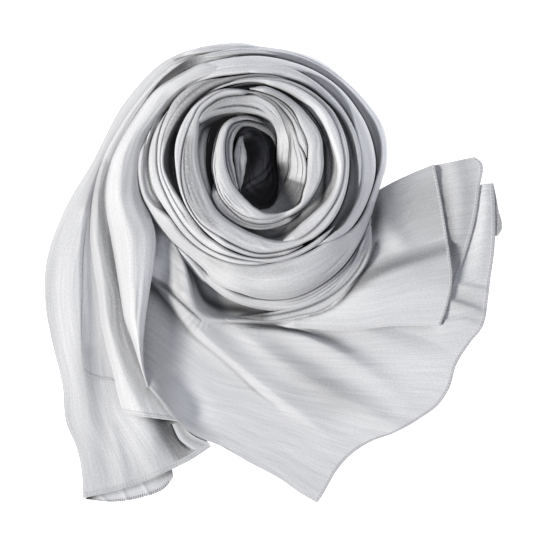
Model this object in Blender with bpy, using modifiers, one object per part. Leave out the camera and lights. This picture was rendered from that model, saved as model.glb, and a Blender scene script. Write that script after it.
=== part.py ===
"""A long satin scarf, gathered along its length, coiled flat on a table with both ends fanned out.

Sizes are in millimetres in the tables and are turned to metres at the end. +Z is up, the scarf lies
on z = 0, and X and Y are across and up the table as it is looked at from straight above.

The coil is described round its pole: each fold of cloth that shows is a row of (turn, inner,
outer), the angle in degrees, counterclockwise from +X, and the two radii between which it shows.
Its height comes from crown(), the swelling of the whole coil. The spread ends are flat patches
between edge curves, with a few long folds raised in them.
"""

import bmesh
import bpy
import numpy as np

WALL = 1.6  # cloth with its lining of air, as a wall
SEAM = 0.3  # clear gap between neighbouring pieces
SILVER = (0.7, 0.7, 0.72)
POLE = np.array([-15.0, 105.0])  # the coil's centre on the table
STATION = 10.0  # degrees between sections of the coil

CROWN_HEIGHT = 60.0
CROWN_AT = 0.55  # where the coil is highest, as a share of the way from its well to its rim
CORE_UNDER = 12.0  # how far the hidden layers lie under the crests
CORE_FLOOR = 4.0  # layers left at the bottom of the well
CORE_SHARES = (0.0, 0.08, 0.18, 0.3, 0.42, 0.55, 0.68, 0.8, 0.9, 1.0)
CORE_RIM_INSET = 7.0
FOOT_GAP = 0.68
FOOT_REACH = 2.5  # a foot clears the hidden layers this far to either side of it
GROUND_FOOT = 2.3  # the outermost folds end here, over the spread cloth

# turn, radius of the well's edge, height of its lip
WELL = (
    (0, 19, 16), (15, 19, 14), (30, 21, 14), (45, 26, 16), (60, 35, 22), (75, 36, 26), (90, 36.5, 30),
    (105, 36, 34), (114, 34, 37), (120, 27, 38), (127, 19.5, 39), (135, 15.8, 40), (150, 12.8, 41),
    (180, 12.4, 42), (195, 13, 42), (210, 15.5, 43), (225, 21.2, 44), (236, 29, 46), (247, 33, 48),
    (255, 35, 49), (270, 40.5, 50), (285, 41.5, 44), (300, 36, 30), (315, 30, 24), (330, 25, 20),
    (345, 21, 18), (360, 19, 16),
)
# turn, radius of the coil's rim, height of the rim
RIM = (
    (0, 128, 14), (15, 132, 13), (30, 127.5, 13), (45, 123.8, 13), (60, 123.8, 13), (75, 121.5, 13),
    (90, 122, 14), (105, 128.7, 17), (120, 136, 21), (130, 137, 25), (142, 128, 30), (160, 118, 32),
    (180, 120.5, 31), (195, 119, 30), (210, 115.2, 28), (225, 112.2, 24), (240, 114.5, 20),
    (250, 129, 14), (255, 137, 11), (270, 142, 9), (288, 148.5, 8), (300, 146, 8), (315, 139, 9),
    (330, 125.5, 11), (342, 122, 13), (352, 124.5, 14), (360, 128, 14),
)

# name: (lift of the crest over crown(), drop of the outer edge under it, rows of turn, inner radius and
# outer radius)
COIL_FOLDS = {
    "tongue_fold": (1.0, 1.0, (
        (114, 34.5, 36.5), (120, 27.8, 36.5), (127, 20.4, 34), (135, 16.4, 31.4), (150, 13.4, 27.8),
        (165, 12.9, 24.4), (180, 12.9, 22.9), (195, 13.6, 22.9), (210, 16.1, 24.2), (225, 22.0, 27.2),
        (234, 28.8, 30.6),
    )),
    "inner_wrap": (2.0, 0.5, (
        (88, 38, 44), (97, 41, 47), (112, 43.3, 49.7), (120, 41, 50), (127, 38.2, 48.2),
        (135, 35, 44.2), (150, 29.5, 37.7), (165, 26, 33.2), (180, 23.6, 30.7), (195, 23.4, 29.2),
        (210, 24.8, 29.2), (225, 27.6, 29.8),
    )),
    "crescent_wrap": (3.0, 3.0, (
        (105, 49, 52), (120, 50.3, 55.6), (127, 48.5, 55), (135, 44.5, 53), (150, 38, 48),
        (165, 33.5, 45.5), (180, 31, 45), (195, 29.5, 44.5), (210, 29.5, 46.3), (225, 30.1, 48),
        (236, 31.2, 49.8), (247, 33.4, 51.5), (255, 35.5, 53.6), (270, 41.5, 55.6), (285, 47.2, 56.7),
        (300, 51, 57.3), (315, 54, 59.5), (322, 54.3, 60.5), (330, 52.4, 61.3), (345, 50, 63.2),
        (360, 49.2, 65.2), (375, 51.5, 67), (390, 56, 70.5), (405, 59.3, 71.8), (420, 65, 74.5),
        (435, 70, 78), (450, 75, 81.5), (465, 79.2, 83.5), (470, 80.8, 84),
    )),
    "low_wall_fold": (0.0, -2.0, (
        (332, 24.8, 30), (345, 21.4, 30), (360, 19.4, 31), (375, 19.4, 31.5), (390, 21.6, 36.5),
        (405, 26.8, 43.5), (412, 31, 46.5), (420, 39, 54), (426, 43, 57), (435, 46.5, 59.5),
        (450, 51, 60.5), (465, 57.5, 65), (480, 62.5, 70), (492, 68, 73), (498, 70, 73.5),
    )),
    "middle_wall_fold": (1.0, -1.5, (
        (290, 41.5, 48.2), (300, 36.6, 50.5), (315, 30.6, 53.3), (322, 30.3, 53.6), (330, 30.2, 51.7),
        (345, 30.3, 49.3), (360, 31.3, 48.6), (375, 31.8, 48), (390, 36.8, 47.6), (405, 43.8, 52),
        (420, 54.3, 59), (426, 57.3, 61.5), (435, 59.8, 64), (450, 61, 67), (465, 65.4, 70),
        (480, 70.3, 73.6), (488, 72.2, 75),
    )),
    "top_wall_fold": (2.0, -0.5, (
        (372, 48.3, 50.6), (382, 48.4, 53.4), (390, 47.9, 55.6), (405, 52.3, 58.9), (420, 59.3, 64.6),
        (435, 64.3, 69.6), (450, 67.3, 74.4), (457, 69, 74.6), (465, 70.4, 74.2), (472, 71.8, 75.8),
        (480, 73.9, 77.2), (490, 75.3, 77),
    )),
    "between_folds": (-3.0, 2.0, (
        (203, 45.8, 50), (210, 46.6, 53.4), (225, 48.4, 57), (240, 51, 58.6), (255, 54, 60.6),
        (270, 56, 61.8), (285, 57.1, 62.2), (300, 57.8, 62.6), (312, 59.6, 62.8),
    )),
    "crown_fold": (0.0, 1.5, (
        (102, 75.2, 77.7), (112, 76.6, 80.9), (120, 78, 83.9), (135, 76.7, 83.9), (142, 72.2, 81.3),
        (150, 67.8, 79.2), (165, 62, 77), (180, 58, 76.6), (195, 56, 77.6), (210, 56.5, 78.7),
        (225, 59, 79.6), (240, 60.2, 78.5), (255, 62.5, 81.3), (270, 67.4, 85.6), (285, 75, 86.8),
        (294, 79, 87.4),
    )),
    "crown_edge_fold": (2.0, 2.0, (
        (110, 81.3, 84.2), (120, 84.3, 87.7), (135, 84.3, 88.7), (150, 79.6, 87.3), (165, 77.4, 85.3),
        (180, 77, 82), (195, 78, 81.2), (210, 79.1, 81.8), (225, 80, 82.5), (240, 78.9, 84),
        (255, 81.7, 86.9), (270, 86, 90), (285, 87.2, 90.8), (300, 88.6, 91.4),
    )),
    "left_inner_fold": (2.0, 2.0, (
        (120, 91.5, 100.6), (135, 92, 103.8), (150, 92.3, 104.8), (165, 93.2, 102.9), (180, 92.7, 99.6),
        (195, 86, 95.2), (210, 82.2, 93), (225, 82.9, 93), (240, 84.8, 93.3), (255, 88, 92.8),
        (270, 90.4, 93.3), (285, 91.2, 94.6), (300, 91.9, 95), (315, 93, 96.5), (326, 96, 99.2),
    )),
    "left_outer_fold": (2.0, 2.0, (
        (150, 105.2, 107.9), (157, 104.6, 108.6), (165, 103.3, 109.3), (180, 100, 108.6),
        (195, 95.6, 105), (210, 93.4, 99.9), (225, 93.4, 99.6), (240, 93.7, 99), (255, 93.2, 98.3),
        (270, 93.7, 97.2), (278, 94.3, 97),
    )),
    "outer_face": (2.0, 4.0, (
        (162, 112.6, 117), (172, 114.6, 119.9), (180, 115, 120.3), (192, 114.3, 119.4),
        (200, 108.5, 117.6), (209, 100.7, 115.2), (225, 100, 112), (238, 99.4, 113.3),
        (243, 99.4, 115.5), (248, 99.1, 122), (255, 98.7, 124.5), (268, 97.7, 129.5),
        (285, 96.9, 134), (300, 98, 132.5), (313, 100.6, 130), (320, 108, 127), (328, 113.8, 124.8),
    )),
    "right_crown_fold": (1.5, 1.5, (
        (296, 74, 83), (300, 71, 87.5), (315, 70.5, 90.3), (330, 74, 91), (345, 79, 90.7),
        (360, 79.5, 91), (375, 77, 92), (390, 77.5, 93), (405, 80.3, 92.5), (420, 81.8, 91.5),
        (435, 83.5, 90.7), (450, 85, 89.5), (462, 86.3, 89.3),
    )),
    "right_thin_fold": (1.0, 1.0, (
        (362, 99.6, 102.5), (375, 98.5, 103.9), (390, 97.7, 102.8), (405, 95.5, 102.2), (420, 95, 103),
        (435, 93.3, 103), (450, 93, 99), (460, 95, 98.4),
    )),
    "right_broad_fold": (2.0, 3.0, (
        (324, 103, 109.3), (330, 101.7, 111), (345, 103, 114.5), (360, 102.9, 117.5), (375, 104.3, 116.8),
        (390, 103.2, 115), (405, 102.6, 113.9), (420, 103.5, 112), (435, 103.6, 111.6), (450, 100, 112.5),
        (465, 98.8, 114.3), (480, 102, 119), (487, 105, 121.2), (495, 107.6, 124.5), (501, 108.6, 127),
    )),
    "outer_ring": (0.0, 6.0, (
        (330, 115, 124.2), (345, 115.6, 122.3), (355, 118, 125), (360, 121, 128), (375, 125.5, 132),
        (390, 122.5, 127.5), (405, 119.3, 123.8), (420, 118.6, 123.8), (435, 117.6, 121.6),
        (450, 118, 122), (457, 120, 126), (465, 121.3, 128.7), (472, 124.5, 132), (480, 130.5, 136),
        (486, 134, 139),
    )),
    "top_ring": (0.5, 2.0, (
        (438, 112.2, 116.6), (450, 113.6, 117.6), (460, 115, 119.4), (465, 115.8, 120.9),
        (472, 118.4, 124.1), (480, 122, 130),
    )),
    "bottom_ring": (1.0, 5.0, (
        (254, 124.8, 135), (260, 127, 138.5), (270, 130.6, 142), (288, 134.4, 148.5), (300, 132.9, 146),
        (315, 130.2, 140), (326, 126, 131.5),
    )),
}

ON_THE_TABLE = ("outer_ring", "bottom_ring")  # folds whose outer side comes down to the table
LEAST_CREST = 4.5  # a fold's crest stands at least this far over its inner foot
LEAST_EDGE = 2.2  # and its outer edge this far over its outer foot

# The long loop of the left end, in rows: x and y of its right edge, x and y of its left edge, then the
# heights of its crest, its right foot and its left foot
TAIL_LOOP = (
    (-100, 170, -116, 184, 45, 37, 10), (-110.5, 159.7, -127, 170, 43, 33, 9.5),
    (-120, 149.8, -138, 156, 41, 29, 9), (-128.5, 142, -147, 143, 39, 25, 8.6),
    (-136, 123, -159, 124, 37, 20, 8.4), (-138, 103, -166, 104, 36, 16, 8.2),
    (-133, 75, -170, 82, 36, 12, 7.4), (-120.5, 51, -168, 50, 36, 9, 7.0),
    (-119, 13, -159, 3, 35, 8.5, 7.2), (-126, -22, -153, -25, 33, 8.5, 8),
    (-129, -57, -148, -51, 27, 8.5, 8.5), (-129, -84, -138, -80, 18, 8.5, 8.5),
    (-126, -109, -129.5, -108, 13, 8.5, 8.5),
)

# Edge curves of the spread cloth: points x, y in order along each
TAIL_OUTER_EDGE = (
    (-52, 229), (-83, 223), (-105, 214), (-148, 171), (-180, 112), (-210.5, 59), (-227, 9),
    (-227.5, -33), (-221, -69), (-210.5, -113), (-207, -149), (-196, -176), (-191, -203), (-190, -225),
)
TAIL_INNER_EDGE = (
    (-54, 225.6), (-81, 219.3), (-100.5, 207), (-113, 182), (-119, 165), (-124, 145), (-130, 121),
    (-132.5, 95), (-128, 70), (-123.5, 40), (-123, 14), (-129, -22), (-131.5, -57), (-132, -86),
    (-127, -112), (-118, -127), (-102, -148), (-84, -162.5), (-62, -173),
)
MIDDLE_OUTER_EDGE = (
    (-169, 108), (-176, 73), (-181, 38), (-178, 3), (-171, -47), (-161, -97), (-158, -139),
)
MIDDLE_INNER_EDGE = (
    (-160, 110), (-160, 70), (-158, 33), (-150, -17), (-137, -67), (-117, -117), (-96, -148.5),
)
INNER_LAYER_OUTER_EDGE = ((-101, -150.8), (-93, -167), (-80, -176.6))
INNER_LAYER_INNER_EDGE = ((-95, -150), (-79, -163), (-62, -170.6))
TAIL_HEM = ((-190, -225), (-143, -213), (-108, -199), (-78, -184), (-62, -173))
TURNED_HEM_UPPER = ((-187, -224.8), (-143, -213.4), (-108, -199.5), (-101, -196.4))
TURNED_HEM_LOWER = ((-187, -226.2), (-160, -229), (-133, -225), (-108, -215), (-99.5, -204))
FAN_NECK = ((-116.5, 40), (-116.8, 14), (-123, -22), (-127, -56), (-127, -86), (-122, -112))
FAN_LOWER = (
    (-122, -112), (-113, -127), (-98, -145), (-78, -162), (-55, -172), (-23, -190), (7, -206), (27, -220),
    (44, -230),
)
FAN_UPPER = (
    (-116.5, 40), (-96.1, 23.9), (-81.2, 10.4), (-67, -7), (-57.5, -24), (-44.5, -33.5), (-15, -40.5),
    (20, -42), (55, -45), (90, -47), (122, -46), (155, -41), (174, -22), (186, 12), (194, 45), (200, 74),
    (208, 89), (220, 90),
)
FAN_HEM = (
    (220, 90), (222, 58), (221, 22), (217, -7), (215, -24), (208, -56), (199, -67), (183, -92), (176, -115),
    (164, -133), (149, -144), (121, -160), (97, -169), (76, -183), (63, -198), (51, -219), (44, -230),
)
FAN_LEAN = 1.6  # lets the upper edge's bends fade soon across the fan
TOP_PANEL_REST = 5.4  # the top panel lies this high, over the back panel
TOP_PANEL_UPPER = ((111, 86), (135, 98), (161, 109))
TOP_PANEL_HEM = ((161, 109), (169, 67), (176, 22), (179, -6), (174, -33), (167, -53))
TOP_PANEL_COIL = ((111, 86), (102, 60), (94.5, 34), (86, 5.5), (65, -19), (41.5, -34.5), (22, -40))
TOP_PANEL_LOWER = ((22, -40), (42, -48), (67, -58), (122, -53), (167, -53))
BACK_PANEL_HEM = ((201, 116), (206, 110), (203, 76), (194, 31), (185, 13), (181, -7))
BACK_PANEL_COVERED = ((158, 107), (163, 88), (168, 60), (172, 30), (175, 8), (177, -7))
CORNER_OUTER = ((220.6, 89), (225, 66), (228, 42), (224.5, 37))
CORNER_INNER = ((220.5, 86), (222.4, 64), (222.6, 48), (222.4, 37.4))

# name: (outer edge, inner edge, resting heights at the outer and the inner edge, cells across and along)
RULED_SHEETS = {
    "left_end_bottom_layer": (TAIL_OUTER_EDGE, TAIL_INNER_EDGE, 0.0, 0.0, 10, 26),
    "left_end_middle_layer": (MIDDLE_OUTER_EDGE, MIDDLE_INNER_EDGE, 2.6, 5.0, 6, 14),
    "left_end_inner_layer": (INNER_LAYER_OUTER_EDGE, INNER_LAYER_INNER_EDGE, 1.95, 1.95, 4, 6),
    "left_end_turned_hem": (TURNED_HEM_LOWER, TURNED_HEM_UPPER, 0.0, 0.0, 3, 12),
    "right_end_back_panel": (BACK_PANEL_HEM, BACK_PANEL_COVERED, 2.4, 3.2, 6, 12),
    "right_end_turned_corner": (CORNER_OUTER, CORNER_INNER, 0.0, 0.0, 2, 6),
}

HEMS = {"left_end_bottom_layer": TAIL_HEM}  # sheets that end in a curved hem, the others end straight

# Long folds raised in a sheet: share across it, width as a share, height, shares along where it starts
# and ends
SHEET_FOLDS = {
    "left_end_bottom_layer": ((0.12, 0.06, 5.0, 0.3, 0.8), (0.28, 0.05, 4.0, 0.42, 0.68)),
    "left_end_middle_layer": ((0.3, 0.2, 3.0, 0.2, 0.9),),
    "left_end_inner_layer": (),
    "left_end_turned_hem": (),
    "right_end_back_panel": ((0.3, 0.2, 2.5, 0.1, 0.6),),
    "right_end_turned_corner": (),
    "right_end_fan": (
        (0.2, 0.07, 20.0, -0.05, 0.36), (0.38, 0.06, 9.0, 0.16, 0.62), (0.52, 0.06, 10.0, 0.02, 0.6),
        (0.7, 0.07, 7.0, 0.1, 0.75), (0.86, 0.06, 5.0, 0.1, 0.7),
    ),
    "right_end_top_panel": ((0.3, 0.12, 4.0, 0.1, 0.95), (0.62, 0.14, 5.0, 0.1, 0.95)),
}


def columns(rows):
    return np.asarray(rows, float).T


def smooth(x, y, at):
    """Cubic curve through the rows (x, y), its slope at each row that of its neighbours."""
    slope = np.gradient(y, x)
    low = np.clip(np.searchsorted(x, at, side="right") - 1, 0, len(x) - 2)
    span = x[low + 1] - x[low]
    s = np.clip((at - x[low]) / span, 0, 1)
    blend = s * s * (3 - 2 * s)
    rise = s * (1 - s) ** 2 * slope[low] - s * s * (1 - s) * slope[low + 1]
    return y[low] * (1 - blend) + y[low + 1] * blend + span * rise


def around(rows, turn):
    """Each column of a closed table of turns, at these angles."""
    table = columns(rows)
    return [smooth(table[0], column, np.mod(turn, 360.0)) for column in table[1:]]


def crown(turn, radius):
    """Height of the coil's crests: from the well's lip up to the crown, then down to the rim."""
    well, lip = around(WELL, turn)
    rim, edge = around(RIM, turn)
    share = np.clip((radius - well) / (rim - well), 0, 1)
    climb = np.sin(np.pi / 2 * np.clip(share / CROWN_AT, 0, 1)) ** 0.8
    descent = np.cos(np.pi / 2 * np.clip((share - CROWN_AT) / (1 - CROWN_AT), 0, 1))
    inside = lip + (CROWN_HEIGHT - lip) * climb
    outside = edge + (CROWN_HEIGHT - edge) * descent
    return np.where(share < CROWN_AT, inside, outside)


def core_section(turn):
    """Radii and heights of the hidden layers' upper surface at one angle."""
    well, _ = around(WELL, turn)
    rim, _ = around(RIM, turn)
    radii = well + np.asarray(CORE_SHARES) * (rim - CORE_RIM_INSET - well)
    under = np.maximum(crown(turn, radii) - CORE_UNDER, CORE_FLOOR)
    return radii, under


def core_height(turn, radius):
    """Highest point of the hidden layers near a point, read from the core's own sections either side."""
    near = {np.floor(turn / STATION) * STATION, np.ceil(turn / STATION) * STATION}
    found = []
    for station in near:
        radii, under = core_section(station)
        found.extend(np.interp(radius + reach, radii, under) for reach in (-FOOT_REACH, 0, FOOT_REACH))
    return max(found)


def on_table(turn, radius):
    """Plan position of a point of the coil."""
    angle = np.radians(turn)
    return POLE[0] + radius * np.cos(angle), POLE[1] + radius * np.sin(angle)


def fold_section(width, foot_in, foot_out, crest, outer):
    """Closed section of one fold of cloth: up its inner side, over the crest, down its outer side and
    back inside it, a wall's thickness away. Pairs of distance across and height."""
    wall = min(WALL, 0.42 * width)
    bend = min(2.2, 0.3 * width)
    crest = max(crest, foot_in + LEAST_CREST)
    outer = max(outer, foot_out + LEAST_EDGE)
    middle = 0.45 * crest + 0.55 * outer + 0.07 * width
    return (
        (0.0, foot_in),
        (0.0, crest - bend),
        (bend, crest),
        (0.6 * width, max(middle, outer)),
        (width, outer),
        (width, foot_out),
        (width - wall, foot_out),
        (width - wall, outer - wall),
        (0.6 * width, max(middle, outer) - wall),
        (max(bend, wall + 0.05), crest - wall),
        (wall, crest - bend - 0.3 * wall),
        (wall, foot_in),
    )


def collection_named(name):
    made = bpy.data.collections.new(name)
    bpy.context.scene.collection.children.link(made)
    return made


def satin(name):
    material = bpy.data.materials.new(name)
    material.use_nodes = True
    shader = material.node_tree.nodes["Principled BSDF"]
    shader.inputs["Base Color"].default_value = (*SILVER, 1.0)
    shader.inputs["Roughness"].default_value = 0.35
    shader.inputs["Metallic"].default_value = 0.0
    return material


def add_mesh(name, points, faces, folder, closed=True):
    """One object from points in millimetres, smooth, with its own material."""
    mesh = bpy.data.meshes.new(name)
    mesh.from_pydata((np.asarray(points, float) / 1000).tolist(), [], faces)
    if closed:
        shell = bmesh.new()
        shell.from_mesh(mesh)
        bmesh.ops.recalc_face_normals(shell, faces=shell.faces)
        shell.to_mesh(mesh)
        shell.free()
    mesh.shade_smooth()
    mesh.materials.append(satin(name))
    piece = bpy.data.objects.new(name, mesh)
    folder.objects.link(piece)
    return piece


def loft(name, sections, folder):
    """Closed tube through like sections, each a loop of points, with a face over each end."""
    count, size = len(sections), len(sections[0])
    corner = np.arange(count * size).reshape(count, size)
    ahead = np.roll(corner, -1, axis=1)
    sides = np.stack((corner[:-1], corner[1:], ahead[1:], ahead[:-1]), axis=-1).reshape(-1, 4)
    faces = sides.tolist() + [corner[0].tolist(), corner[-1][::-1].tolist()]
    return add_mesh(name, np.asarray(sections).reshape(-1, 3), faces, folder)


def coil_stations(rows):
    """The first and last turn of a fold, and the shared stations between them."""
    first, last = rows[0][0], rows[-1][0]
    shared = np.arange(np.ceil((first + 2) / STATION), np.ceil((last - 2) / STATION)) * STATION
    return np.concatenate(([first], shared, [last]))


def coil_fold(name, lift, drop, rows, folder):
    table = columns(rows)
    turns = coil_stations(rows)
    inner = smooth(table[0], table[1], turns) + SEAM / 2
    outer = smooth(table[0], table[2], turns) - SEAM / 2
    well, _ = around(WELL, turns)
    inner = np.maximum(inner, well + 0.4)
    sections = []
    for turn, start, end in zip(turns, inner, outer):
        foot_in = core_height(turn, start) + FOOT_GAP
        foot_out = GROUND_FOOT if name in ON_THE_TABLE else core_height(turn, end) + FOOT_GAP
        crest = crown(turn, start + 1) + lift
        edge = crown(turn, end) - drop
        section = np.asarray(fold_section(end - start, foot_in, foot_out, crest, edge))
        x, y = on_table(turn, start + section[:, 0])
        sections.append(np.column_stack((x, y, section[:, 1])))
    return loft(name, sections, folder)


def coil_core(folder):
    """The layers that the coil hides, one rounded solid with a flat underside and a well in its top."""
    turns = np.arange(0, 360, STATION)
    well, _ = around(WELL, turns)
    rings = [(0.45 * well, np.full(len(turns), CORE_FLOOR)), (well - 2.5, np.full(len(turns), CORE_FLOOR))]
    tops = [core_section(turn) for turn in turns]
    for place in range(len(CORE_SHARES)):
        rings.append(tuple(np.array([section[part][place] for section in tops]) for part in (0, 1)))
    rim = rings[-1][0]
    rings.append((rim + 1.0, np.full(len(turns), 0.5 * CORE_FLOOR)))
    rings.append((rim, np.zeros(len(turns))))
    points = [(*POLE, CORE_FLOOR)]
    for radius, height in rings:
        x, y = on_table(turns, radius)
        points.extend(np.column_stack((x, y, height)).tolist())
    points.append((*POLE, 0.0))
    size = len(turns)
    corner = 1 + np.arange(len(rings) * size).reshape(len(rings), size)
    ahead = np.roll(corner, -1, axis=1)
    sides = np.stack((corner[:-1], corner[1:], ahead[1:], ahead[:-1]), axis=-1).reshape(-1, 4)
    last = len(points) - 1
    faces = sides.tolist()
    faces += [(0, int(a), int(b)) for a, b in zip(corner[0], ahead[0])]
    faces += [(last, int(b), int(a)) for a, b in zip(corner[-1], ahead[-1])]
    return add_mesh("coil_core", points, faces, folder)


def tail_loop(folder):
    """The broad loop of the left end, a fold like the coil's, with its crest past its middle."""
    table = columns(TAIL_LOOP)
    along = np.arange(len(TAIL_LOOP), dtype=float)
    at = np.linspace(0, along[-1], 2 * len(TAIL_LOOP) - 1)
    right_x, right_y, left_x, left_y, crest, right_foot, left_foot = (
        smooth(along, column, at) for column in table
    )
    across = np.array([0.0, 0.0, 0.12, 0.4, 0.7, 0.95, 1.0, 1.0])
    sections = []
    for row in range(len(at)):
        right = np.array([right_x[row], right_y[row]])
        left = np.array([left_x[row], left_y[row]])
        width = np.linalg.norm(left - right)
        inset = WALL / width
        top = crest[row]
        high = np.array([
            right_foot[row], 0.55 * top + 0.45 * right_foot[row], 0.8 * top, top, 0.93 * top,
            0.7 * top, 0.6 * top, left_foot[row],
        ])
        high[5:7] = np.maximum(high[5:7], left_foot[row] + 2.0)
        shift = np.array([1, 1, 1, 0, 0, -1, -1, -1]) * inset
        lower = high - np.array([0, 0.4, 0.9, 1, 1, 0.9, 0.4, 0]) * WALL
        share = np.concatenate((across, (across + shift)[::-1]))
        height = np.concatenate((high, lower[::-1]))
        plan = right + share[:, None] * (left - right)
        sections.append(np.column_stack((plan, height)))
    return loft("left_end_loop", sections, folder)


def along_edge(points, share):
    """Points of an edge curve at these shares of its length."""
    x, y = columns(points)
    chord = np.concatenate(([0], np.cumsum(np.hypot(np.diff(x), np.diff(y)))))
    fine = np.linspace(0, chord[-1], 20 * len(x))
    fine_x, fine_y = smooth(chord, x, fine), smooth(chord, y, fine)
    length = np.concatenate(([0], np.cumsum(np.hypot(np.diff(fine_x), np.diff(fine_y)))))
    at = np.asarray(share) * length[-1]
    return np.column_stack((np.interp(at, length, fine_x), np.interp(at, length, fine_y)))


def raised(folds, across, along):
    """Height of a sheet's long folds: rounded ridges, each fading in and out along the sheet."""
    height = np.zeros(np.broadcast(across, along).shape)
    for place, width, rise, start, end in folds:
        hump = np.exp(-(((across - place) / width) ** 2))
        fade = np.clip((along - start) / 0.15, 0, 1) * np.clip((end - along) / 0.15, 0, 1)
        height += rise * hump * fade * fade * (3 - 2 * fade)
    return height


def sheet(name, plan, height, folder):
    """Open grid of plan points and heights, given its wall upwards by Solidify."""
    rows, cols = height.shape
    points = np.dstack((plan, height)).reshape(-1, 3)
    corner = np.arange(rows * cols).reshape(rows, cols)
    faces = np.stack((corner[:-1, :-1], corner[1:, :-1], corner[1:, 1:], corner[:-1, 1:]), axis=-1)
    faces = faces.reshape(-1, 4)
    first, second, third = (points[faces[:, place]] for place in (0, 1, 2))
    if np.cross(second - first, third - first)[:, 2].sum() < 0:
        faces = faces[:, ::-1]
    piece = add_mesh(name, points, faces.tolist(), folder, closed=False)
    wall = piece.modifiers.new("Cloth wall", "SOLIDIFY")
    wall.thickness = WALL / 1000
    wall.offset = 1.0
    return piece


def edge_calm(across, along):
    """0 at a sheet's edges and 1 away from them, so that folds lie down there."""
    near = np.minimum(np.minimum(across, 1 - across), np.minimum(along, 1 - along))
    calm = np.clip(near / 0.08, 0, 1)
    return calm * calm * (3 - 2 * calm)


def four_sided(first, last, near, far, across, along, lean=1.0):
    """Coons patch: across runs from near to far, along runs from first to last. With a lean over 1 the
    near edge's course fades sooner on the way across."""
    u, v = 1 - (1 - across[..., None]) ** lean, along[..., None]
    begin = along_edge(first, across[0])[None]
    finish = along_edge(last, across[0])[None]
    side = along_edge(near, along[:, 0])[:, None]
    other = along_edge(far, along[:, 0])[:, None]
    corners = (
        (1 - u) * (1 - v) * begin[:, :1] + u * (1 - v) * begin[:, -1:]
        + (1 - u) * v * finish[:, :1] + u * v * finish[:, -1:]
    )
    return (1 - v) * begin + v * finish + (1 - u) * side + u * other - corners


def ruled_sheet(name, outer, inner, outer_rest, inner_rest, cells_across, cells_along, folder):
    across = np.linspace(0, 1, cells_across + 1)[None, :]
    along = np.linspace(0, 1, cells_along + 1)[:, None]
    top = (outer[0], inner[0])
    hem = HEMS.get(name, (outer[-1], inner[-1]))
    plan = four_sided(top, hem, outer, inner, across, along)
    height = outer_rest + across * (inner_rest - outer_rest)
    height = height + edge_calm(across, along) * raised(SHEET_FOLDS[name], across, along)
    return sheet(name, plan, height, folder)


def right_end_fan(folder):
    across = np.linspace(0, 1, 25)[None, :]
    along = np.linspace(0, 1, 25)[:, None]
    plan = four_sided(FAN_NECK, FAN_HEM, FAN_UPPER, FAN_LOWER, across, along, FAN_LEAN)
    height = edge_calm(across, along) * raised(SHEET_FOLDS["right_end_fan"], across, along)
    return sheet("right_end_fan", plan, height, folder)


def right_end_top_panel(folder):
    across = np.linspace(0, 1, 13)[None, :]
    along = np.linspace(0, 1, 13)[:, None]
    plan = four_sided(TOP_PANEL_COIL, TOP_PANEL_HEM, TOP_PANEL_UPPER, TOP_PANEL_LOWER, across, along)
    calm = edge_calm(across, along)
    height = TOP_PANEL_REST + calm * raised(SHEET_FOLDS["right_end_top_panel"], across, along)
    return sheet("right_end_top_panel", plan, height, folder)


def main():
    for item in list(bpy.data.objects):
        bpy.data.objects.remove(item)
    scarf = collection_named("long_satin_scarf")
    coil_core(scarf)
    for name, row in COIL_FOLDS.items():
        coil_fold(name, *row, scarf)
    tail_loop(scarf)
    for name, row in RULED_SHEETS.items():
        ruled_sheet(name, *row, scarf)
    right_end_fan(scarf)
    right_end_top_panel(scarf)


main()
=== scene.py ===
"""Looks of a long satin scarf, coiled flat on a table with both ends spread below the coil.

Tables are in millimetres on the layout, x across from the left and y down from the top, as the scarf
is looked at from straight above. place() turns them into the part's own frame. The coil is described
round its pole: turn is the angle in degrees, counterclockwise from the right, and radii are from the
pole.
"""

import bpy
import numpy as np
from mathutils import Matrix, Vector


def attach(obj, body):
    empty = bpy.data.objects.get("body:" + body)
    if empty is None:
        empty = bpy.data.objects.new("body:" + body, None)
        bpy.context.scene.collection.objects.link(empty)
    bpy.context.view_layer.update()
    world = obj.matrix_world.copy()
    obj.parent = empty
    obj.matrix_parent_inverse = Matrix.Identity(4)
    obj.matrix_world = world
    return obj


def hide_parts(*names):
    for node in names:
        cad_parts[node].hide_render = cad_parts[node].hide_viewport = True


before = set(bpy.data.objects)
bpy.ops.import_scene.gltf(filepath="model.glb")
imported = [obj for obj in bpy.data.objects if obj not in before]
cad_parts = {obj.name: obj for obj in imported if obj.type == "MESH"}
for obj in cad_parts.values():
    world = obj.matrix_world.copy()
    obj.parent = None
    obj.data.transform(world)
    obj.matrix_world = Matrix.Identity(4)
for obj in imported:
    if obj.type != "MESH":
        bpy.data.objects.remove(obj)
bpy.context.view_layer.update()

MILLIMETRES = 1000  # in a metre
LAYOUT_ORIGIN = (273.0, 273.0)  # where the part's own origin lies on the layout
POLE = (258, 168)

# The coil's swelling, as the solids have it
CROWN_HEIGHT = 60.0
CROWN_AT = 0.55  # share of the way from the well to the rim
CLIMB_POWER = 0.8
# turn, radius of the well's edge, height of its lip
WELL = (
    (0, 19, 16), (15, 19, 14), (30, 21, 14), (45, 26, 16), (60, 35, 22), (75, 36, 26), (90, 36.5, 30),
    (105, 36, 34), (114, 34, 37), (120, 27, 38), (127, 19.5, 39), (135, 15.8, 40), (150, 12.8, 41),
    (180, 12.4, 42), (195, 13, 42), (210, 15.5, 43), (225, 21.2, 44), (236, 29, 46), (247, 33, 48),
    (255, 35, 49), (270, 40.5, 50), (285, 41.5, 44), (300, 36, 30), (315, 30, 24), (330, 25, 20),
    (345, 21, 18), (360, 19, 16),
)
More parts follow.
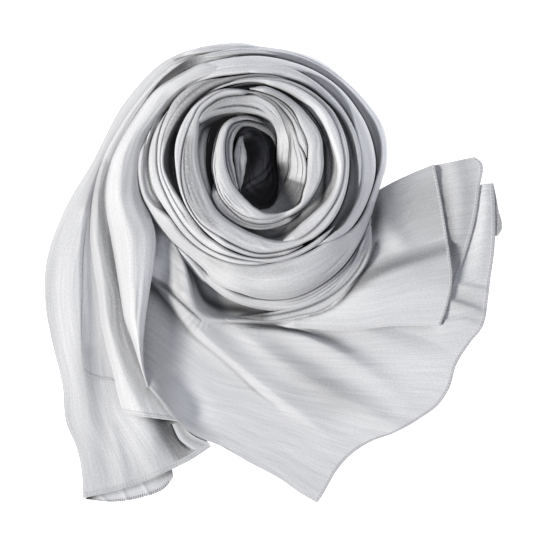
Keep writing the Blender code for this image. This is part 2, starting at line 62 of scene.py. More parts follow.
# turn, radius of the coil's rim, height of the rim
RIM = (
    (0, 128, 14), (15, 132, 13), (30, 127.5, 13), (45, 123.8, 13), (60, 123.8, 13), (75, 121.5, 13),
    (90, 122, 14), (105, 128.7, 17), (120, 136, 21), (130, 137, 25), (142, 128, 30), (160, 118, 32),
    (180, 120.5, 31), (195, 119, 30), (210, 115.2, 28), (225, 112.2, 24), (240, 114.5, 20), (250, 129, 14),
    (255, 137, 11), (270, 142, 9), (288, 148.5, 8), (300, 146, 8), (315, 139, 9), (330, 125.5, 11),
    (342, 122, 13), (352, 124.5, 14), (360, 128, 14),
)

# Folds of the coil, from the well outwards. For each: lift of its inner and of its outer edge over the
# swelling, how far it rounds over (across, down) at its inner and at its outer edge, how far it bulges
# between them, and its rows of turn, inner radius, outer radius.
COIL_FOLDS = {
    "tongue_fold": (1, -3, (3, 5), (2, 4), 0.5, (
        (112, 35.5, 37), (117, 31.5, 37.2), (120, 27.5, 37), (125, 20.5, 35), (130, 18, 33.2),
        (135, 16, 31.5), (150, 13, 28), (165, 12.5, 24.5), (180, 12.6, 23), (195, 13.3, 23),
        (210, 15.8, 24.3), (218, 18.5, 25.8), (225, 21.5, 27.4), (230, 26, 29), (236, 30.5, 31.2),
    )),
    "inner_wrap": (2, 0, (3, 4), (2.5, 5), 0.5, (
        (48, 25, 27.6), (60, 31, 35), (68, 33.4, 38.6), (76, 35.2, 41.4), (86, 37.4, 44.4), (97, 41, 47),
        (105, 42.7, 49), (112, 43.3, 50), (120, 41, 50.3), (127, 38.2, 48.5), (135, 35, 44.5),
        (142, 32, 41.5), (150, 29.5, 38), (157, 27.6, 35.5), (165, 26, 33.5), (180, 23.5, 31),
        (195, 23.4, 29.5), (210, 24.8, 29.4), (225, 27.6, 30), (232, 29.6, 30.8),
    )),
    "crescent_wrap": (6, 2, (2.5, 5), (3, 5), 1, (
        (80, 43.4, 45.4), (88, 45, 48.6), (95, 47, 51), (103, 49, 53.2), (112, 50, 55), (120, 50.3, 55.8),
        (127, 48.5, 55.2), (135, 44.5, 53.2), (142, 41.5, 50.5), (150, 38, 48.2), (157, 35.5, 46.5),
        (165, 33.5, 45.6), (180, 31, 45), (195, 29.5, 44.6), (210, 29.5, 46.4), (225, 30, 48.2),
        (240, 31.8, 50.5), (247, 33.3, 52), (255, 35.5, 54), (262, 38.5, 55), (270, 41.5, 55.8),
        (277, 45, 56.2), (285, 47.2, 57), (292, 49, 57.2), (300, 51, 57.5), (307, 52.7, 58.6),
        (315, 54, 59.7), (320, 54.7, 60.5), (325, 53.5, 61), (330, 51.7, 61.5), (345, 50, 63.4),
        (360, 49.2, 65.4), (375, 51.5, 67.2), (382, 54, 69.2), (390, 56, 70.7), (405, 59.6, 71.8),
        (420, 67.4, 75), (435, 72.2, 78.8), (445, 74.6, 81.4), (456, 76.2, 82),
    )),
    "low_wall_fold": (0, 3, (4, 5), (2, 3), 0, (
        (302, 34.6, 37), (310, 30.4, 34), (320, 26.4, 32), (332, 23, 30), (345, 20.6, 30), (360, 19.4, 31),
        (375, 19.4, 31.5), (390, 21.6, 36.5), (405, 26.8, 43.5), (412, 31, 46.8), (420, 37.5, 52.4),
        (428, 43.4, 58.8), (435, 46.8, 64), (443, 49.4, 68.2), (450, 51.6, 71.6), (457, 54, 72.6),
        (465, 56.8, 73.8), (470, 58.6, 75.2), (475, 60, 76.6), (480, 62.2, 77.4), (486, 65, 77.6),
        (492, 67.6, 77.6), (499, 70, 76.6), (508, 71.6, 75),
    )),
    "middle_wall_fold": (1, 3, (3, 5), (2.5, 4), 0, (
        (264, 41.6, 42.6), (274, 41.8, 45.4), (288, 41.2, 49.4), (300, 36.6, 52.4), (315, 30.6, 54.6),
        (322, 30.3, 54), (330, 30.2, 51.8), (345, 30.3, 49.8), (360, 31, 49), (375, 31.5, 48.4),
        (390, 36.6, 47.8), (405, 43.4, 52.8), (412, 46.6, 56.6), (420, 52, 60.2), (428, 58.2, 64),
        (435, 63.4, 67.8), (443, 67.6, 71.2), (450, 70.8, 73.4), (458, 72.4, 74.4),
    )),
    "top_wall_fold": (2, 2, (3, 5), (3, 5), 0.5, (
        (372, 48.3, 50.6), (382, 48.4, 53.6), (390, 47.9, 55.8), (405, 52.6, 59.8), (412, 56.2, 63.6),
        (420, 59.8, 67.6), (428, 63.4, 70.4), (435, 67.2, 72.4), (443, 70.6, 74.4), (450, 72.8, 75.6),
        (460, 74.2, 77.2),
    )),
    "between_folds": (-5, -4, (1.5, 3), (1.5, 3), 0, (
        (200, 45, 49), (210, 46.4, 53.4), (225, 48.2, 57), (240, 50.6, 58.8), (255, 54, 60.8),
        (270, 56, 62), (285, 57, 62.4), (300, 57.6, 62.8), (312, 59.4, 63),
    )),
    "crown_fold": (-1, 1, (4, 7), (2.5, 4), 1, (
        (92, 75.4, 77.4), (100, 72.8, 79.2), (106, 74, 81.6), (112, 75.8, 84), (118, 77.4, 84.8),
        (125, 77.8, 84.6), (135, 76.5, 84.1), (142, 73, 81.5), (150, 67.8, 79.5), (165, 62, 77.2),
        (180, 58, 76.8), (195, 56, 77.8), (210, 56.3, 78.9), (225, 58.5, 79.7), (240, 59.8, 78.5),
        (255, 62.3, 81.5), (262, 64.5, 83.5), (270, 67.3, 85.7), (277, 71, 86.4), (285, 75, 87),
        (292, 77.4, 87.6), (298, 78.8, 88), (303, 79.6, 88.4), (308, 80, 89.7), (315, 80.4, 90.5),
        (322, 80.6, 91), (330, 81, 91.2), (337, 81.6, 91), (345, 82.2, 90.7), (360, 83.4, 91),
        (375, 84.2, 92), (390, 85.8, 93), (397, 86.4, 93.7), (405, 86.8, 93.2), (420, 86.8, 92.6),
        (435, 86.4, 91.6), (450, 86, 90.4), (465, 86.4, 89.8), (474, 87, 89.2),
    )),
    "crown_edge_fold": (2, 1, (2, 4), (2, 4), 0.5, (
        (106, 81.4, 83), (112, 83.4, 85.4), (120, 84.4, 87.7), (127, 84.6, 88.5), (135, 84.1, 88.7),
        (142, 81.5, 88.2), (150, 79.5, 87.3), (165, 77.3, 85.3), (180, 76.8, 82), (195, 77.9, 81),
        (210, 79, 81.3), (225, 79.7, 82), (240, 78.5, 84), (247, 80, 85.4), (255, 81.5, 86.7),
        (262, 83.5, 88.5), (270, 85.7, 90), (285, 87, 90.8), (300, 88.3, 91.2),
    )),
    "left_inner_fold": (2, 0, (3, 6), (3, 5), 1, (
        (68, 92.2, 93), (75, 91.4, 92.8), (90, 90.2, 93), (105, 90, 93.8), (112, 90.8, 96),
        (118, 91.5, 99.6), (127, 91.7, 104.6), (135, 92, 106.6), (142, 92.2, 107), (150, 92.3, 105.4),
        (165, 93.2, 103.1), (172, 93.5, 101.4), (180, 92.7, 99.9), (187, 89.5, 98), (195, 86, 95.4),
        (202, 83.3, 94), (210, 82, 93.1), (217, 82, 93), (225, 82.7, 93.1), (232, 84, 93.4),
        (240, 84.8, 93.6), (255, 88, 92.9), (270, 90.4, 94), (278, 90.8, 95.8), (285, 91.2, 96.4),
        (300, 91.8, 97), (315, 93, 97.2), (323, 94.6, 97.4),
    )),
    "left_outer_fold": (2, 0, (2.5, 5), (2.5, 5), 0.5, (
        (148, 105.2, 107.6), (157, 104.7, 108.4), (165, 103.3, 109.3), (172, 101.5, 109.5),
        (180, 100, 108.6), (187, 98, 107.4), (195, 95.5, 105), (202, 94, 102), (209, 93.2, 100),
        (225, 93.2, 99.5), (240, 93.7, 99), (255, 93, 98.3), (270, 93.5, 97), (280, 94.4, 96.6),
    )),
    "outer_face": (2, -2, (4, 5), (4, 8), 1.5, (
        (162, 112.6, 117), (172, 114.4, 120), (180, 115, 120.5), (187, 115.3, 120), (192, 114.5, 119.4),
        (196, 112.5, 118.7), (200, 108.5, 117.6), (204, 104.5, 116.6), (209, 100.6, 115.3),
        (218, 99.8, 113.3), (228, 99.5, 112), (238, 99.1, 113.3), (243, 99, 115.5), (248, 98.7, 122),
        (255, 98.3, 124.5), (262, 97.6, 126.5), (268, 97.2, 129.5), (285, 96.1, 134.4), (300, 98, 132.5),
        (307, 99, 131), (313, 100.8, 129.4), (320, 106.6, 127), (328, 112, 124.8), (336, 114.4, 123.2),
        (344, 115.6, 122.4), (352, 117.4, 122.8),
    )),
    "right_crown_fold": (1, 2.5, (4, 6), (2, 4), 1, (
        (286, 76.6, 77.6), (290, 74.8, 79.2), (294, 73.4, 80.4), (298, 72.4, 81.4), (303, 71, 82.2),
        (308, 70, 82.4), (315, 70.3, 82.6), (322, 71.5, 82.8), (330, 74, 83.2), (337, 76.5, 83.8),
        (345, 78.2, 84.4), (360, 78.9, 85.6), (367, 78, 86), (375, 77, 86.4), (390, 77.5, 88),
        (397, 78.8, 88.6), (405, 80.2, 89), (412, 79.6, 89), (420, 79, 89), (428, 79.8, 89),
        (435, 80.8, 88.8), (441, 82, 88.6), (446, 84, 88.4), (450, 84.8, 88.2), (465, 86.2, 88.8),
        (475, 87.4, 89.2), (485, 88.6, 89.8),
    )),
    "right_thin_fold": (1, 0, (2.5, 5), (2.5, 4), 0.5, (
        (342, 101.6, 103.6), (358, 100.2, 103), (366, 99, 103.6), (375, 98.3, 104.1), (390, 97.5, 103),
        (405, 95.3, 102.4), (420, 95, 103.2), (435, 93, 104), (450, 93, 99.4), (462, 95.2, 98.4),
    )),
    "right_broad_fold": (2, -1, (3, 5), (4, 6), 1, (
        (304, 96, 97.6), (312, 97.6, 101), (320, 99.6, 107), (326, 101, 110.4), (332, 101.4, 112),
        (345, 103, 114.5), (360, 102.4, 117.5), (375, 103, 116.8), (385, 104.5, 115.8), (390, 106.2, 115),
        (397, 108.6, 114.5), (405, 110.2, 113.9), (412, 109.6, 113), (420, 107, 112), (435, 100, 110.7),
        (450, 94.5, 111.6), (465, 95.5, 113.3), (472, 98, 115.4), (480, 101, 118.2), (487, 104.4, 120.4),
        (495, 106.6, 123.7), (502, 108.6, 127.5),
    )),
    "outer_ring": (1, -2, (3, 4), (4, 8), 0.5, (
        (328, 115, 124.6), (345, 115.5, 122.4), (355, 118.5, 125), (360, 120.6, 128), (367, 122.8, 130.5),
        (375, 124, 132), (382, 123.4, 131), (390, 121.4, 127.6), (405, 119.3, 123.8), (420, 118.4, 123.8),
        (435, 117.6, 121.6), (450, 118, 122), (457, 119.8, 126), (465, 121.2, 128.7), (472, 124.4, 132),
        (480, 130.4, 136), (488, 135, 140),
    )),
    "top_ring": (1, -1, (2, 4), (2, 4), 0.5, (
        (436, 112.2, 116.4), (450, 113.6, 117.8), (460, 115, 119.6), (465, 115.8, 121.1),
        (472, 118.2, 124.3), (477, 121.5, 127), (482, 124, 131),
    )),
    "bottom_ring": (0, -3, (3, 5), (5, 7), 1, (
        (219, 112.4, 114.6), (228, 111.4, 117.5), (236, 112.4, 121), (243, 115.4, 126), (248, 119.4, 127.6),
        (253, 122.4, 131.4), (260, 125.6, 136), (270, 130.2, 141), (288, 134.4, 148.5), (300, 132.6, 146),
        (315, 129.4, 140), (325, 126, 132), (334, 123.6, 126.4), (342, 122.2, 123.6),
    )),
}


# Steep sides that lead down from a fold's inner edge into the crease before it, and the layer that shows
# outside the bottom ring: the fold's node and the same numbers
COIL_SIDES = {
    "side_under_crown_left": ("crown_fold", -17, -3, (1, 1), (1, 1), -6, (
        (86, 48, 54), (97, 50, 56), (105, 52, 58), (112, 55, 60), (120, 56, 63), (127, 55.5, 66),
        (135, 53.5, 69.5), (140, 51.5, 71.5), (145, 49.8, 70.8), (150, 48.5, 68.3), (157, 46.8, 65.5),
        (165, 45.9, 62.5), (180, 45.2, 58.5), (195, 44.9, 56.5), (210, 46.7, 56.8), (225, 48.5, 59),
        (240, 51, 60.3),
    )),
    "side_under_crown_right": ("right_crown_fold", -15, -3, (1, 1), (1, 1), -6, (
        (225, 57, 59), (240, 58.6, 60.6), (255, 60.6, 63), (262, 61.4, 65), (270, 61.8, 68),
        (277, 62, 71.4), (285, 62.2, 75.4), (292, 62, 75.6), (300, 58, 71.4), (307, 58.8, 70.6),
        (315, 60, 70.6), (330, 61.7, 74.4), (345, 63.6, 79.5), (360, 65.6, 79.9), (375, 67.4, 77.6),
        (390, 70.8, 78), (405, 72.4, 80.6), (420, 75, 82.2), (435, 78.3, 83.8), (450, 79.5, 85),
        (462, 79.4, 84.9), (470, 81.4, 85), (478, 83.4, 85.2),
    )),
    "side_under_right_folds": ("right_broad_fold", -13, -2, (1, 1), (1, 1), -6, (
        (300, 91, 96), (312, 91, 98.5), (320, 91.2, 100.6), (330, 91.4, 102), (345, 91, 103.4),
        (360, 91.2, 100.8), (375, 92.2, 98.8), (390, 93.1, 98), (405, 92.7, 95.8), (420, 91.9, 95.4),
        (435, 91, 93.6), (450, 89.8, 93), (460, 90, 92),
    )),
    "side_under_outer_ring": ("outer_ring", -8, -1, (1, 1), (1, 1), -1.5, (
        (350, 115.6, 117.6), (360, 117.4, 121.4), (367, 117.6, 124.3), (375, 116.8, 125.7),
        (382, 116, 124.9), (390, 115, 122.4), (405, 113.9, 119.7), (420, 112, 118.8), (435, 110.7, 117.9),
        (450, 111.7, 118.3), (460, 113, 121), (472, 115.6, 123.4), (482, 119.6, 128.4), (490, 122.4, 129.6),
        (498, 125.6, 130.8), (508, 129.4, 132.6),
    )),
    "side_under_left_folds": ("left_inner_fold", -15, -2, (1, 1), (1, 1), -6, (
        (100, 88.6, 91), (112, 87.6, 91.8), (120, 87.8, 92.3), (135, 88.9, 92.6), (150, 87.4, 92.9),
        (165, 85.4, 93.8), (172, 83.6, 94.1), (180, 82, 93.3), (187, 81.2, 90.1), (195, 81, 86.6),
        (202, 81.2, 84), (210, 81.2, 82.8), (225, 81.8, 83.2), (240, 83.8, 85.4), (255, 86.6, 88.6),
    )),
    "side_under_low_wall": ("low_wall_fold", -12, -4, (1, 1), (1, 1), -2, (
        (44, 26.2, 29), (52, 30.5, 34.5), (60, 35.2, 41), (75, 36.6, 48), (90, 37.4, 52.4), (100, 41, 56.5),
        (112, 50, 60),
    )),
    "side_under_bottom_ring": ("bottom_ring", 6, 6, (1, 1), (2, 4), 0.5, (
        (262, 148, 151.4), (268, 146, 152.6), (274, 145, 153.6), (280, 144, 153.6), (286, 143.6, 153.6),
        (293, 143.6, 156.2), (300, 143, 155.6), (309, 138, 149.6), (319, 131, 144.6), (326, 126, 138.6),
        (333, 121, 131),
    )),
    "side_under_outer_face": ("outer_face", -7, -1, (1, 1), (1, 1), -1.5, (
        (146, 107.4, 112), (157, 108.2, 113), (165, 109.1, 113.4), (172, 109.4, 114.9), (180, 108.5, 115.5),
        (187, 107.3, 115.8), (192, 106, 115), (196, 104.8, 113), (200, 102.8, 109), (204, 101.3, 105),
        (208, 100.2, 101.6),
    )),
    "side_under_broad_fold": ("right_broad_fold", -5, 0, (1, 1), (1, 1), -1.5, (
        (372, 102.6, 104), (385, 102.6, 105.2), (390, 102.4, 106.8), (397, 102.2, 109.2),
        (405, 102.2, 110.8), (412, 102.6, 110.2), (420, 102.9, 107.7), (428, 103, 104.6), (435, 99.6, 101),
    )),
}

# Creases pressed into a fold: depth, width, and rows of turn, radius
COIL_CREASES = {
    "crown_fold": (
        (0.8, 0.9, ((145, 79.5), (157, 76.6), (172, 73.8), (187, 72.6), (200, 72.4), (215, 73.6))),
    ),
    "crescent_wrap": (
        (1.8, 0.9, (
            (150, 45.6), (165, 43), (180, 42.5), (195, 42.5), (210, 44), (225, 45.7), (240, 47.6),
            (255, 49.7), (270, 51), (285, 52.3), (300, 53.6), (312, 54.8),
        )),
        (1.2, 0.8, ((210, 41.5), (225, 43.2), (240, 45.3), (255, 47))),
    ),
    "inner_wrap": (
        (1.8, 0.8, (
            (108, 46.6), (120, 45.8), (135, 40.6), (150, 34.5), (165, 30.2), (180, 27.4), (195, 26.3),
            (210, 27), (222, 28.6),
        )),
    ),
    "tongue_fold": (
        (1, 0.7, ((120, 33), (135, 24.5), (150, 21), (165, 19), (180, 18), (195, 18.5), (210, 20.5))),
    ),
    "top_wall_fold": ((1, 0.6, ((400, 56), (410, 59.6), (420, 64), (430, 68), (440, 71.4))),),
    "middle_wall_fold": (
        (0.8, 0.8, ((330, 41), (345, 40), (360, 40.5), (375, 41), (390, 42.5), (400, 46), (408, 49.6))),
        (1, 0.6, ((330, 46.6), (345, 45.4), (360, 45), (375, 45), (390, 45.5))),
    ),
    "low_wall_fold": (
        (0.6, 0.8, ((345, 25.6), (360, 25), (375, 25.5), (390, 29), (405, 35.5), (415, 41))),
        (1.4, 0.7, (
            (438, 54), (445, 56.5), (450, 58.6), (455, 60.5), (460, 62), (465, 64), (470, 65.6),
            (475, 67.2), (480, 69), (485, 71), (492, 73),
        )),
        (0.7, 0.8, ((423, 49.6), (430, 54), (435, 56.8), (440, 60), (448, 63.6))),
    ),
    "left_inner_fold": (
        (1.1, 0.8, (
            (120, 95), (135, 98.6), (150, 99.5), (165, 98.5), (180, 96.3), (195, 91), (210, 88),
            (225, 88.4),
        )),
    ),
    "outer_face": (
        (0.7, 1.2, ((235, 103), (250, 108), (265, 112), (285, 117), (305, 118))),
        (0.6, 1.5, ((225, 106), (240, 109), (255, 117), (270, 123), (285, 126), (300, 125))),
        (1.3, 0.8, ((296, 126), (305, 124.5), (312, 122.5), (318, 119.6), (324, 117))),
    ),
    "right_broad_fold": (
        (0.8, 1, ((450, 101), (465, 103.5), (480, 108), (490, 112))),
        (1.2, 0.7, ((462, 106.2), (470, 108), (478, 110.4))),
    ),
    "outer_ring": (
        (1, 0.7, (
            (355, 121.5), (367, 127.4), (375, 129), (390, 125), (405, 121.6), (435, 119.6), (450, 120),
            (465, 124.6), (480, 133),
        )),
    ),
    "bottom_ring": (
        (0.8, 0.8, ((258, 131), (270, 136), (288, 141.6), (300, 139.6), (315, 134.6))),
        (0.9, 0.7, ((276, 135.4), (288, 138), (300, 136.2), (315, 132.2), (330, 126.4))),
    ),
    "side_under_crown_left": (
        (1.2, 0.8, (
            (110, 58), (127, 61), (140, 61), (150, 58), (165, 53), (180, 51), (200, 50.6), (225, 53),
            (238, 56),
        )),
        (1, 0.7, ((127, 58), (140, 56), (150, 53), (165, 49.5), (180, 48), (200, 47.4))),
        (1, 0.7, ((127, 63.6), (140, 66.6), (150, 63.6), (165, 58), (180, 55), (200, 53.6))),
    ),
    "side_under_crown_right": (
        (1, 0.8, (
            (255, 62), (270, 65), (285, 69), (300, 65), (315, 65.6), (330, 68), (345, 71.6), (360, 72.6),
            (375, 72.6), (400, 75), (430, 79),
        )),
        (0.8, 0.8, ((330, 71.4), (345, 75.6), (360, 76.4), (375, 75), (400, 77.6))),
    ),
}


# Painted light and shade on a fold along its way, as the share of the light painted into its colour: lower
# where it lies deep between its neighbours, above 1 where it is painted lighter; rows of turn, share
COIL_PAINTED_LIGHT = {
    "tongue_fold": ((112, 0.6), (150, 0.8), (200, 0.85), (236, 0.7)),
    "inner_wrap": ((48, 0.3), (60, 0.4), (90, 0.42), (120, 0.7), (150, 0.95), (232, 0.95)),
    "low_wall_fold": (
        (306, 0.22), (350, 0.26), (362, 0.34), (369, 0.5), (376, 0.9), (383, 1.05), (435, 1.05), (450, 1),
        (460, 0.8), (490, 0.7), (508, 0.6),
    ),
    "middle_wall_fold": (
        (264, 0.3), (288, 0.45), (308, 0.45), (316, 0.3), (325, 0.22), (339, 0.26), (343, 0.8), (349, 1),
        (400, 0.95), (408, 0.75), (418, 0.5), (435, 0.38), (458, 0.4),
    ),
    "top_wall_fold": ((372, 1), (398, 0.95), (412, 0.75), (430, 0.6), (460, 0.5)),
    "crown_fold": (
        (92, 0.8), (110, 0.95), (130, 1), (330, 1), (350, 1.1), (385, 1.1), (405, 0.8), (435, 0.75),
        (455, 0.9), (474, 1),
    ),
    "left_inner_fold": (
        (68, 0.45), (100, 0.5), (112, 0.55), (125, 0.6), (142, 0.66), (156, 0.9), (166, 1), (330, 1),
    ),
    "crescent_wrap": ((84, 0.35), (95, 0.45), (105, 0.6), (118, 0.75), (130, 1), (456, 1)),
    "side_under_bottom_ring": ((260, 0.3), (272, 0.32), (276, 0.95), (290, 1), (340, 0.95)),
    "outer_ring": ((328, 1), (350, 1.3), (365, 1.5), (450, 1.4), (465, 1.1), (476, 1), (488, 1.25)),
    "right_broad_fold": ((304, 1), (340, 1.15), (370, 1.28), (450, 1.15), (502, 1)),
    "right_crown_fold": ((289, 0.95), (340, 1.08), (370, 1.2), (450, 1.1), (485, 1)),
    "top_ring": ((436, 1.2), (465, 1), (482, 0.85)),
    "right_thin_fold": ((358, 1.1), (462, 1.1)),
    "side_under_low_wall": ((45, 0.9), (70, 0.7), (85, 0.55), (95, 0.3), (112, 0.15)),
    "side_under_crown_left": (
        (86, 0.1), (120, 0.12), (140, 0.13), (150, 0.6), (162, 1.1), (180, 1.4), (210, 1.4), (225, 1),
        (240, 0.6),
    ),
    "side_under_crown_right": (
        (225, 0.8), (250, 0.6), (262, 0.36), (290, 0.27), (305, 0.32), (320, 0.45), (345, 0.62),
        (375, 0.55), (390, 0.8), (402, 1.5), (412, 1.4), (422, 0.4), (440, 0.2), (478, 0.2),
    ),
    "side_under_right_folds": (
        (300, 0.2), (330, 0.35), (350, 0.7), (370, 0.8), (390, 0.9), (420, 1.2), (460, 0.8),
    ),
    "side_under_outer_ring": (
        (350, 0.7), (375, 0.6), (390, 1), (405, 1.4), (450, 1.5), (468, 1.3), (475, 0.9), (481, 0.4),
        (487, 0.18), (500, 0.2), (508, 0.4),
    ),
    "side_under_left_folds": (
        (100, 0.8), (126, 0.8), (134, 0.3), (165, 0.22), (187, 0.2), (210, 0.3), (255, 0.3),
    ),
    "between_folds": ((200, 0.75), (312, 0.75)),
}

# Painted shade along the contact lines on a fold: depth, width, and rows of turn, radius
COIL_SHADES = {
    "crown_fold": (
        (0.42, 4.2, ((150, 77.5), (165, 72.8), (180, 70), (195, 69), (210, 69.6), (225, 71), (240, 72))),
        (0.25, 0.8, ((150, 73.4), (165, 68.4), (180, 65.4), (195, 64.2), (210, 64.4), (222, 65.6))),
        (0.3, 1, ((145, 79.5), (157, 76.6), (172, 73.8), (187, 72.6), (200, 72.4), (215, 73.6))),
        (0.5, 1.2, ((98, 73.6), (106, 75), (112, 76.8), (120, 78.2), (132, 77.6))),
        (0.5, 1.2, ((150, 79.4), (160, 77.6), (180, 76.4), (200, 76.6), (215, 76.4), (230, 76))),
        (0.65, 1.5, ((240, 78), (255, 81), (262, 83), (270, 85.2), (280, 86.4), (292, 87.2), (302, 88))),
        (0.75, 1.2, ((292, 80.6), (303, 82.4), (315, 82.8), (330, 83.4), (345, 84.6))),
    ),
    "crown_edge_fold": (
        (0.35, 1.2, ((112, 83.8), (120, 84.6), (130, 84.6))),
        (0.6, 1, ((108, 83), (114, 86), (120, 87.6), (128, 88.4), (140, 88.2))),
        (0.75, 1.4, ((244, 85), (255, 87.2), (262, 88.8), (270, 90), (280, 90.4), (290, 90.8))),
    ),
    "left_outer_fold": ((0.5, 1.2, ((222, 93.4), (240, 93.8), (255, 93.6), (265, 93.6))),),
    "left_inner_fold": (
        (0.4, 2, ((120, 93), (150, 96), (165, 97.6), (172, 98.6))),
        (0.6, 1.4, ((78, 91), (100, 90.4), (114, 91))),
        (0.5, 1.4, ((106, 94.6), (120, 98), (132, 99.6), (146, 101))),
        (0.35, 2.2, ((205, 86), (225, 86), (240, 87.6))),
    ),
    "low_wall_fold": (
        (0.7, 4, ((346, 21), (358, 20), (372, 19.6), (385, 19.6), (398, 22), (410, 28))),
        (0.9, 1.3, ((424, 42), (430, 45), (435, 47.2), (440, 49), (445, 50.4), (452, 52.4), (462, 56))),
        (0.65, 1.1, (
            (438, 54), (445, 56.5), (450, 58.6), (455, 60.5), (460, 62), (465, 64), (470, 65.6),
            (475, 67.2), (480, 69), (485, 71), (492, 73),
        )),
        (0.3, 2.6, ((455, 73), (465, 73), (475, 76), (485, 77), (495, 76.6))),
    ),
    "middle_wall_fold": (
        (0.7, 1.2, ((330, 31), (345, 31.4), (360, 32), (375, 33), (390, 37.6), (405, 45), (415, 51))),
        (0.8, 1.4, ((396, 49.6), (405, 52.4), (412, 56), (420, 59.6), (428, 63.2), (436, 66.6))),
    ),
    "top_wall_fold": (
        (0.85, 1.5, (
            (398, 57.6), (408, 61.6), (415, 65), (420, 67.2), (428, 70), (435, 72), (443, 74), (455, 76),
        )),
    ),
    "crescent_wrap": (
        (0.5, 1, ((215, 47.6), (240, 50), (255, 53), (275, 55.6))),
        (0.45, 1.6, ((408, 61.6), (420, 68.6), (435, 73.6), (450, 76.4))),
    ),
    "between_folds": ((0.4, 1, ((215, 51), (230, 54), (250, 56.6), (270, 59), (290, 60))),),
    "outer_ring": ((0.5, 2.4, ((356, 118.6), (366, 119.6), (378, 119.8), (390, 118), (402, 117))),),
    "right_crown_fold": ((0.45, 3.2, ((410, 79.6), (420, 79.6), (430, 80.4), (438, 81.4), (446, 83.4))),),
    "side_under_low_wall": (
        (0.92, 1.5, (
            (56, 36), (66, 43), (70, 44.6), (75, 46.6), (80, 48), (85, 49.5), (95, 52), (108, 57),
        )),
        (0.8, 3.4, ((68, 33), (78, 35.6), (85, 37.6), (95, 41), (105, 47))),
    ),
    "bottom_ring": (
        (0.5, 1.5, ((232, 113.4), (242, 116.4), (250, 121.6), (258, 126.4), (264, 129.4), (272, 132))),
        (0.35, 1, ((276, 135.4), (288, 138), (300, 136.2), (315, 132.2), (330, 126.4))),
    ),
    "side_under_bottom_ring": (
        (0.75, 1.4, (
            (262, 149), (268, 148.6), (280, 147.6), (288, 147.6), (300, 147), (310, 144), (320, 138.6),
            (330, 131),
        )),
        (0.35, 1, ((262, 154), (274, 154), (286, 153.2), (293, 155.6), (300, 155), (319, 144), (333, 131))),
    ),
    "outer_face": (
        (0.22, 5, ((232, 100), (245, 103), (258, 104), (275, 104), (295, 105))),
        (0.2, 5, ((258, 119), (270, 126), (285, 129.6), (300, 128), (312, 124))),
    ),
    "side_under_crown_left": (
        (0.85, 2.2, ((120, 58), (135, 62), (145, 66), (155, 64), (165, 60))),
        (0.7, 1.8, ((150, 66.6), (165, 61), (180, 57.4), (195, 55.6), (210, 56), (225, 58), (236, 59))),
        (0.5, 1.2, ((150, 60), (165, 55), (180, 51.6), (200, 51), (225, 53.6))),
    ),
    "side_under_crown_right": (
        (0.7, 1.6, ((290, 61.6), (300, 61.6), (315, 62), (326, 64))),
        (0.75, 1.8, (
            (256, 62.4), (264, 64.4), (272, 67.8), (280, 70.6), (290, 71.4), (300, 70), (320, 70.2),
            (334, 71.4),
        )),
        (0.95, 3, (
            (322, 70.6), (330, 71.4), (340, 70), (350, 67.6), (360, 67), (370, 68), (380, 70), (390, 71.6),
        )),
        (0.8, 1.4, ((375, 69), (390, 71.8), (405, 73.6), (420, 76), (435, 79), (450, 82), (465, 83))),
        (0.35, 1.5, ((335, 76), (350, 74), (365, 73), (380, 74.5), (400, 77))),
    ),
    "side_under_right_folds": (
        (0.9, 1.3, ((300, 92), (315, 92.4), (335, 91.8), (355, 91.4), (372, 92.6))),
        (0.6, 1.6, ((358, 97), (368, 95.6), (378, 95.4), (390, 95), (405, 94), (430, 93))),
        (0.7, 1.4, ((300, 95.6), (312, 97.6), (325, 100.4), (335, 101.8), (345, 102.6))),
    ),
    "side_under_outer_ring": (
        (0.85, 1.6, (
            (350, 116.6), (362, 118), (375, 117.2), (390, 115.4), (405, 114.2), (430, 112), (450, 112),
            (470, 115),
        )),
    ),
    "side_under_left_folds": ((0.8, 3, ((150, 89), (165, 88), (180, 86.5), (192, 84.5))),),
    "side_under_outer_face": (
        (0.8, 1.2, ((152, 108.8), (165, 110.2), (180, 110), (192, 108), (200, 104.4), (207, 101.4))),
    ),
    "side_under_broad_fold": (
        (0.75, 1.3, ((372, 103.4), (390, 104), (400, 104.4), (412, 104), (430, 103.4))),
    ),
}


# Stretches of a fold that lie deeper: depth, and rows of turn, share of that depth
COIL_DROPS = {
    "low_wall_fold": ((11, ((302, 1), (350, 1), (370, 0.5), (395, 0))),),
    "middle_wall_fold": ((14, ((264, 1), (330, 1), (350, 0.7), (375, 0.2), (395, 0))),),
    "right_broad_fold": ((9, ((304, 0), (450, 0), (468, 0.3), (480, 0.7), (502, 1))),),
}


def place(points):
    """Layout points (across, down) in the part's frame: across less the origin, the origin less down, and
    from millimetres to metres."""
    points = np.asarray(points, float)
    plan = np.stack((points[..., 0] - LAYOUT_ORIGIN[0], LAYOUT_ORIGIN[1] - points[..., 1]), axis=-1)
    return plan / MILLIMETRES


def layout_of(points):
    """Layout points of a grid in metres, the way back from place()."""
    across = LAYOUT_ORIGIN[0] + MILLIMETRES * points[..., 0]
    down = LAYOUT_ORIGIN[1] - MILLIMETRES * points[..., 1]
    return np.stack((across, down), axis=-1)


def raised(plan, height):
    """Points in metres from layout points and their heights in millimetres."""
    return np.dstack((place(plan), height / MILLIMETRES))


def smooth(x, y, at):
    """Cubic curve through the rows (x, y), its slope at each row that of its neighbours."""
    slope = np.gradient(y, x)
    low = np.clip(np.searchsorted(x, at, side="right") - 1, 0, len(x) - 2)
    span = x[low + 1] - x[low]
    s = np.clip((at - x[low]) / span, 0, 1)
    blend = s * s * (3 - 2 * s)
    rise = s * (1 - s) ** 2 * slope[low] - s * s * (1 - s) * slope[low + 1]
    return y[low] * (1 - blend) + y[low + 1] * blend + span * rise


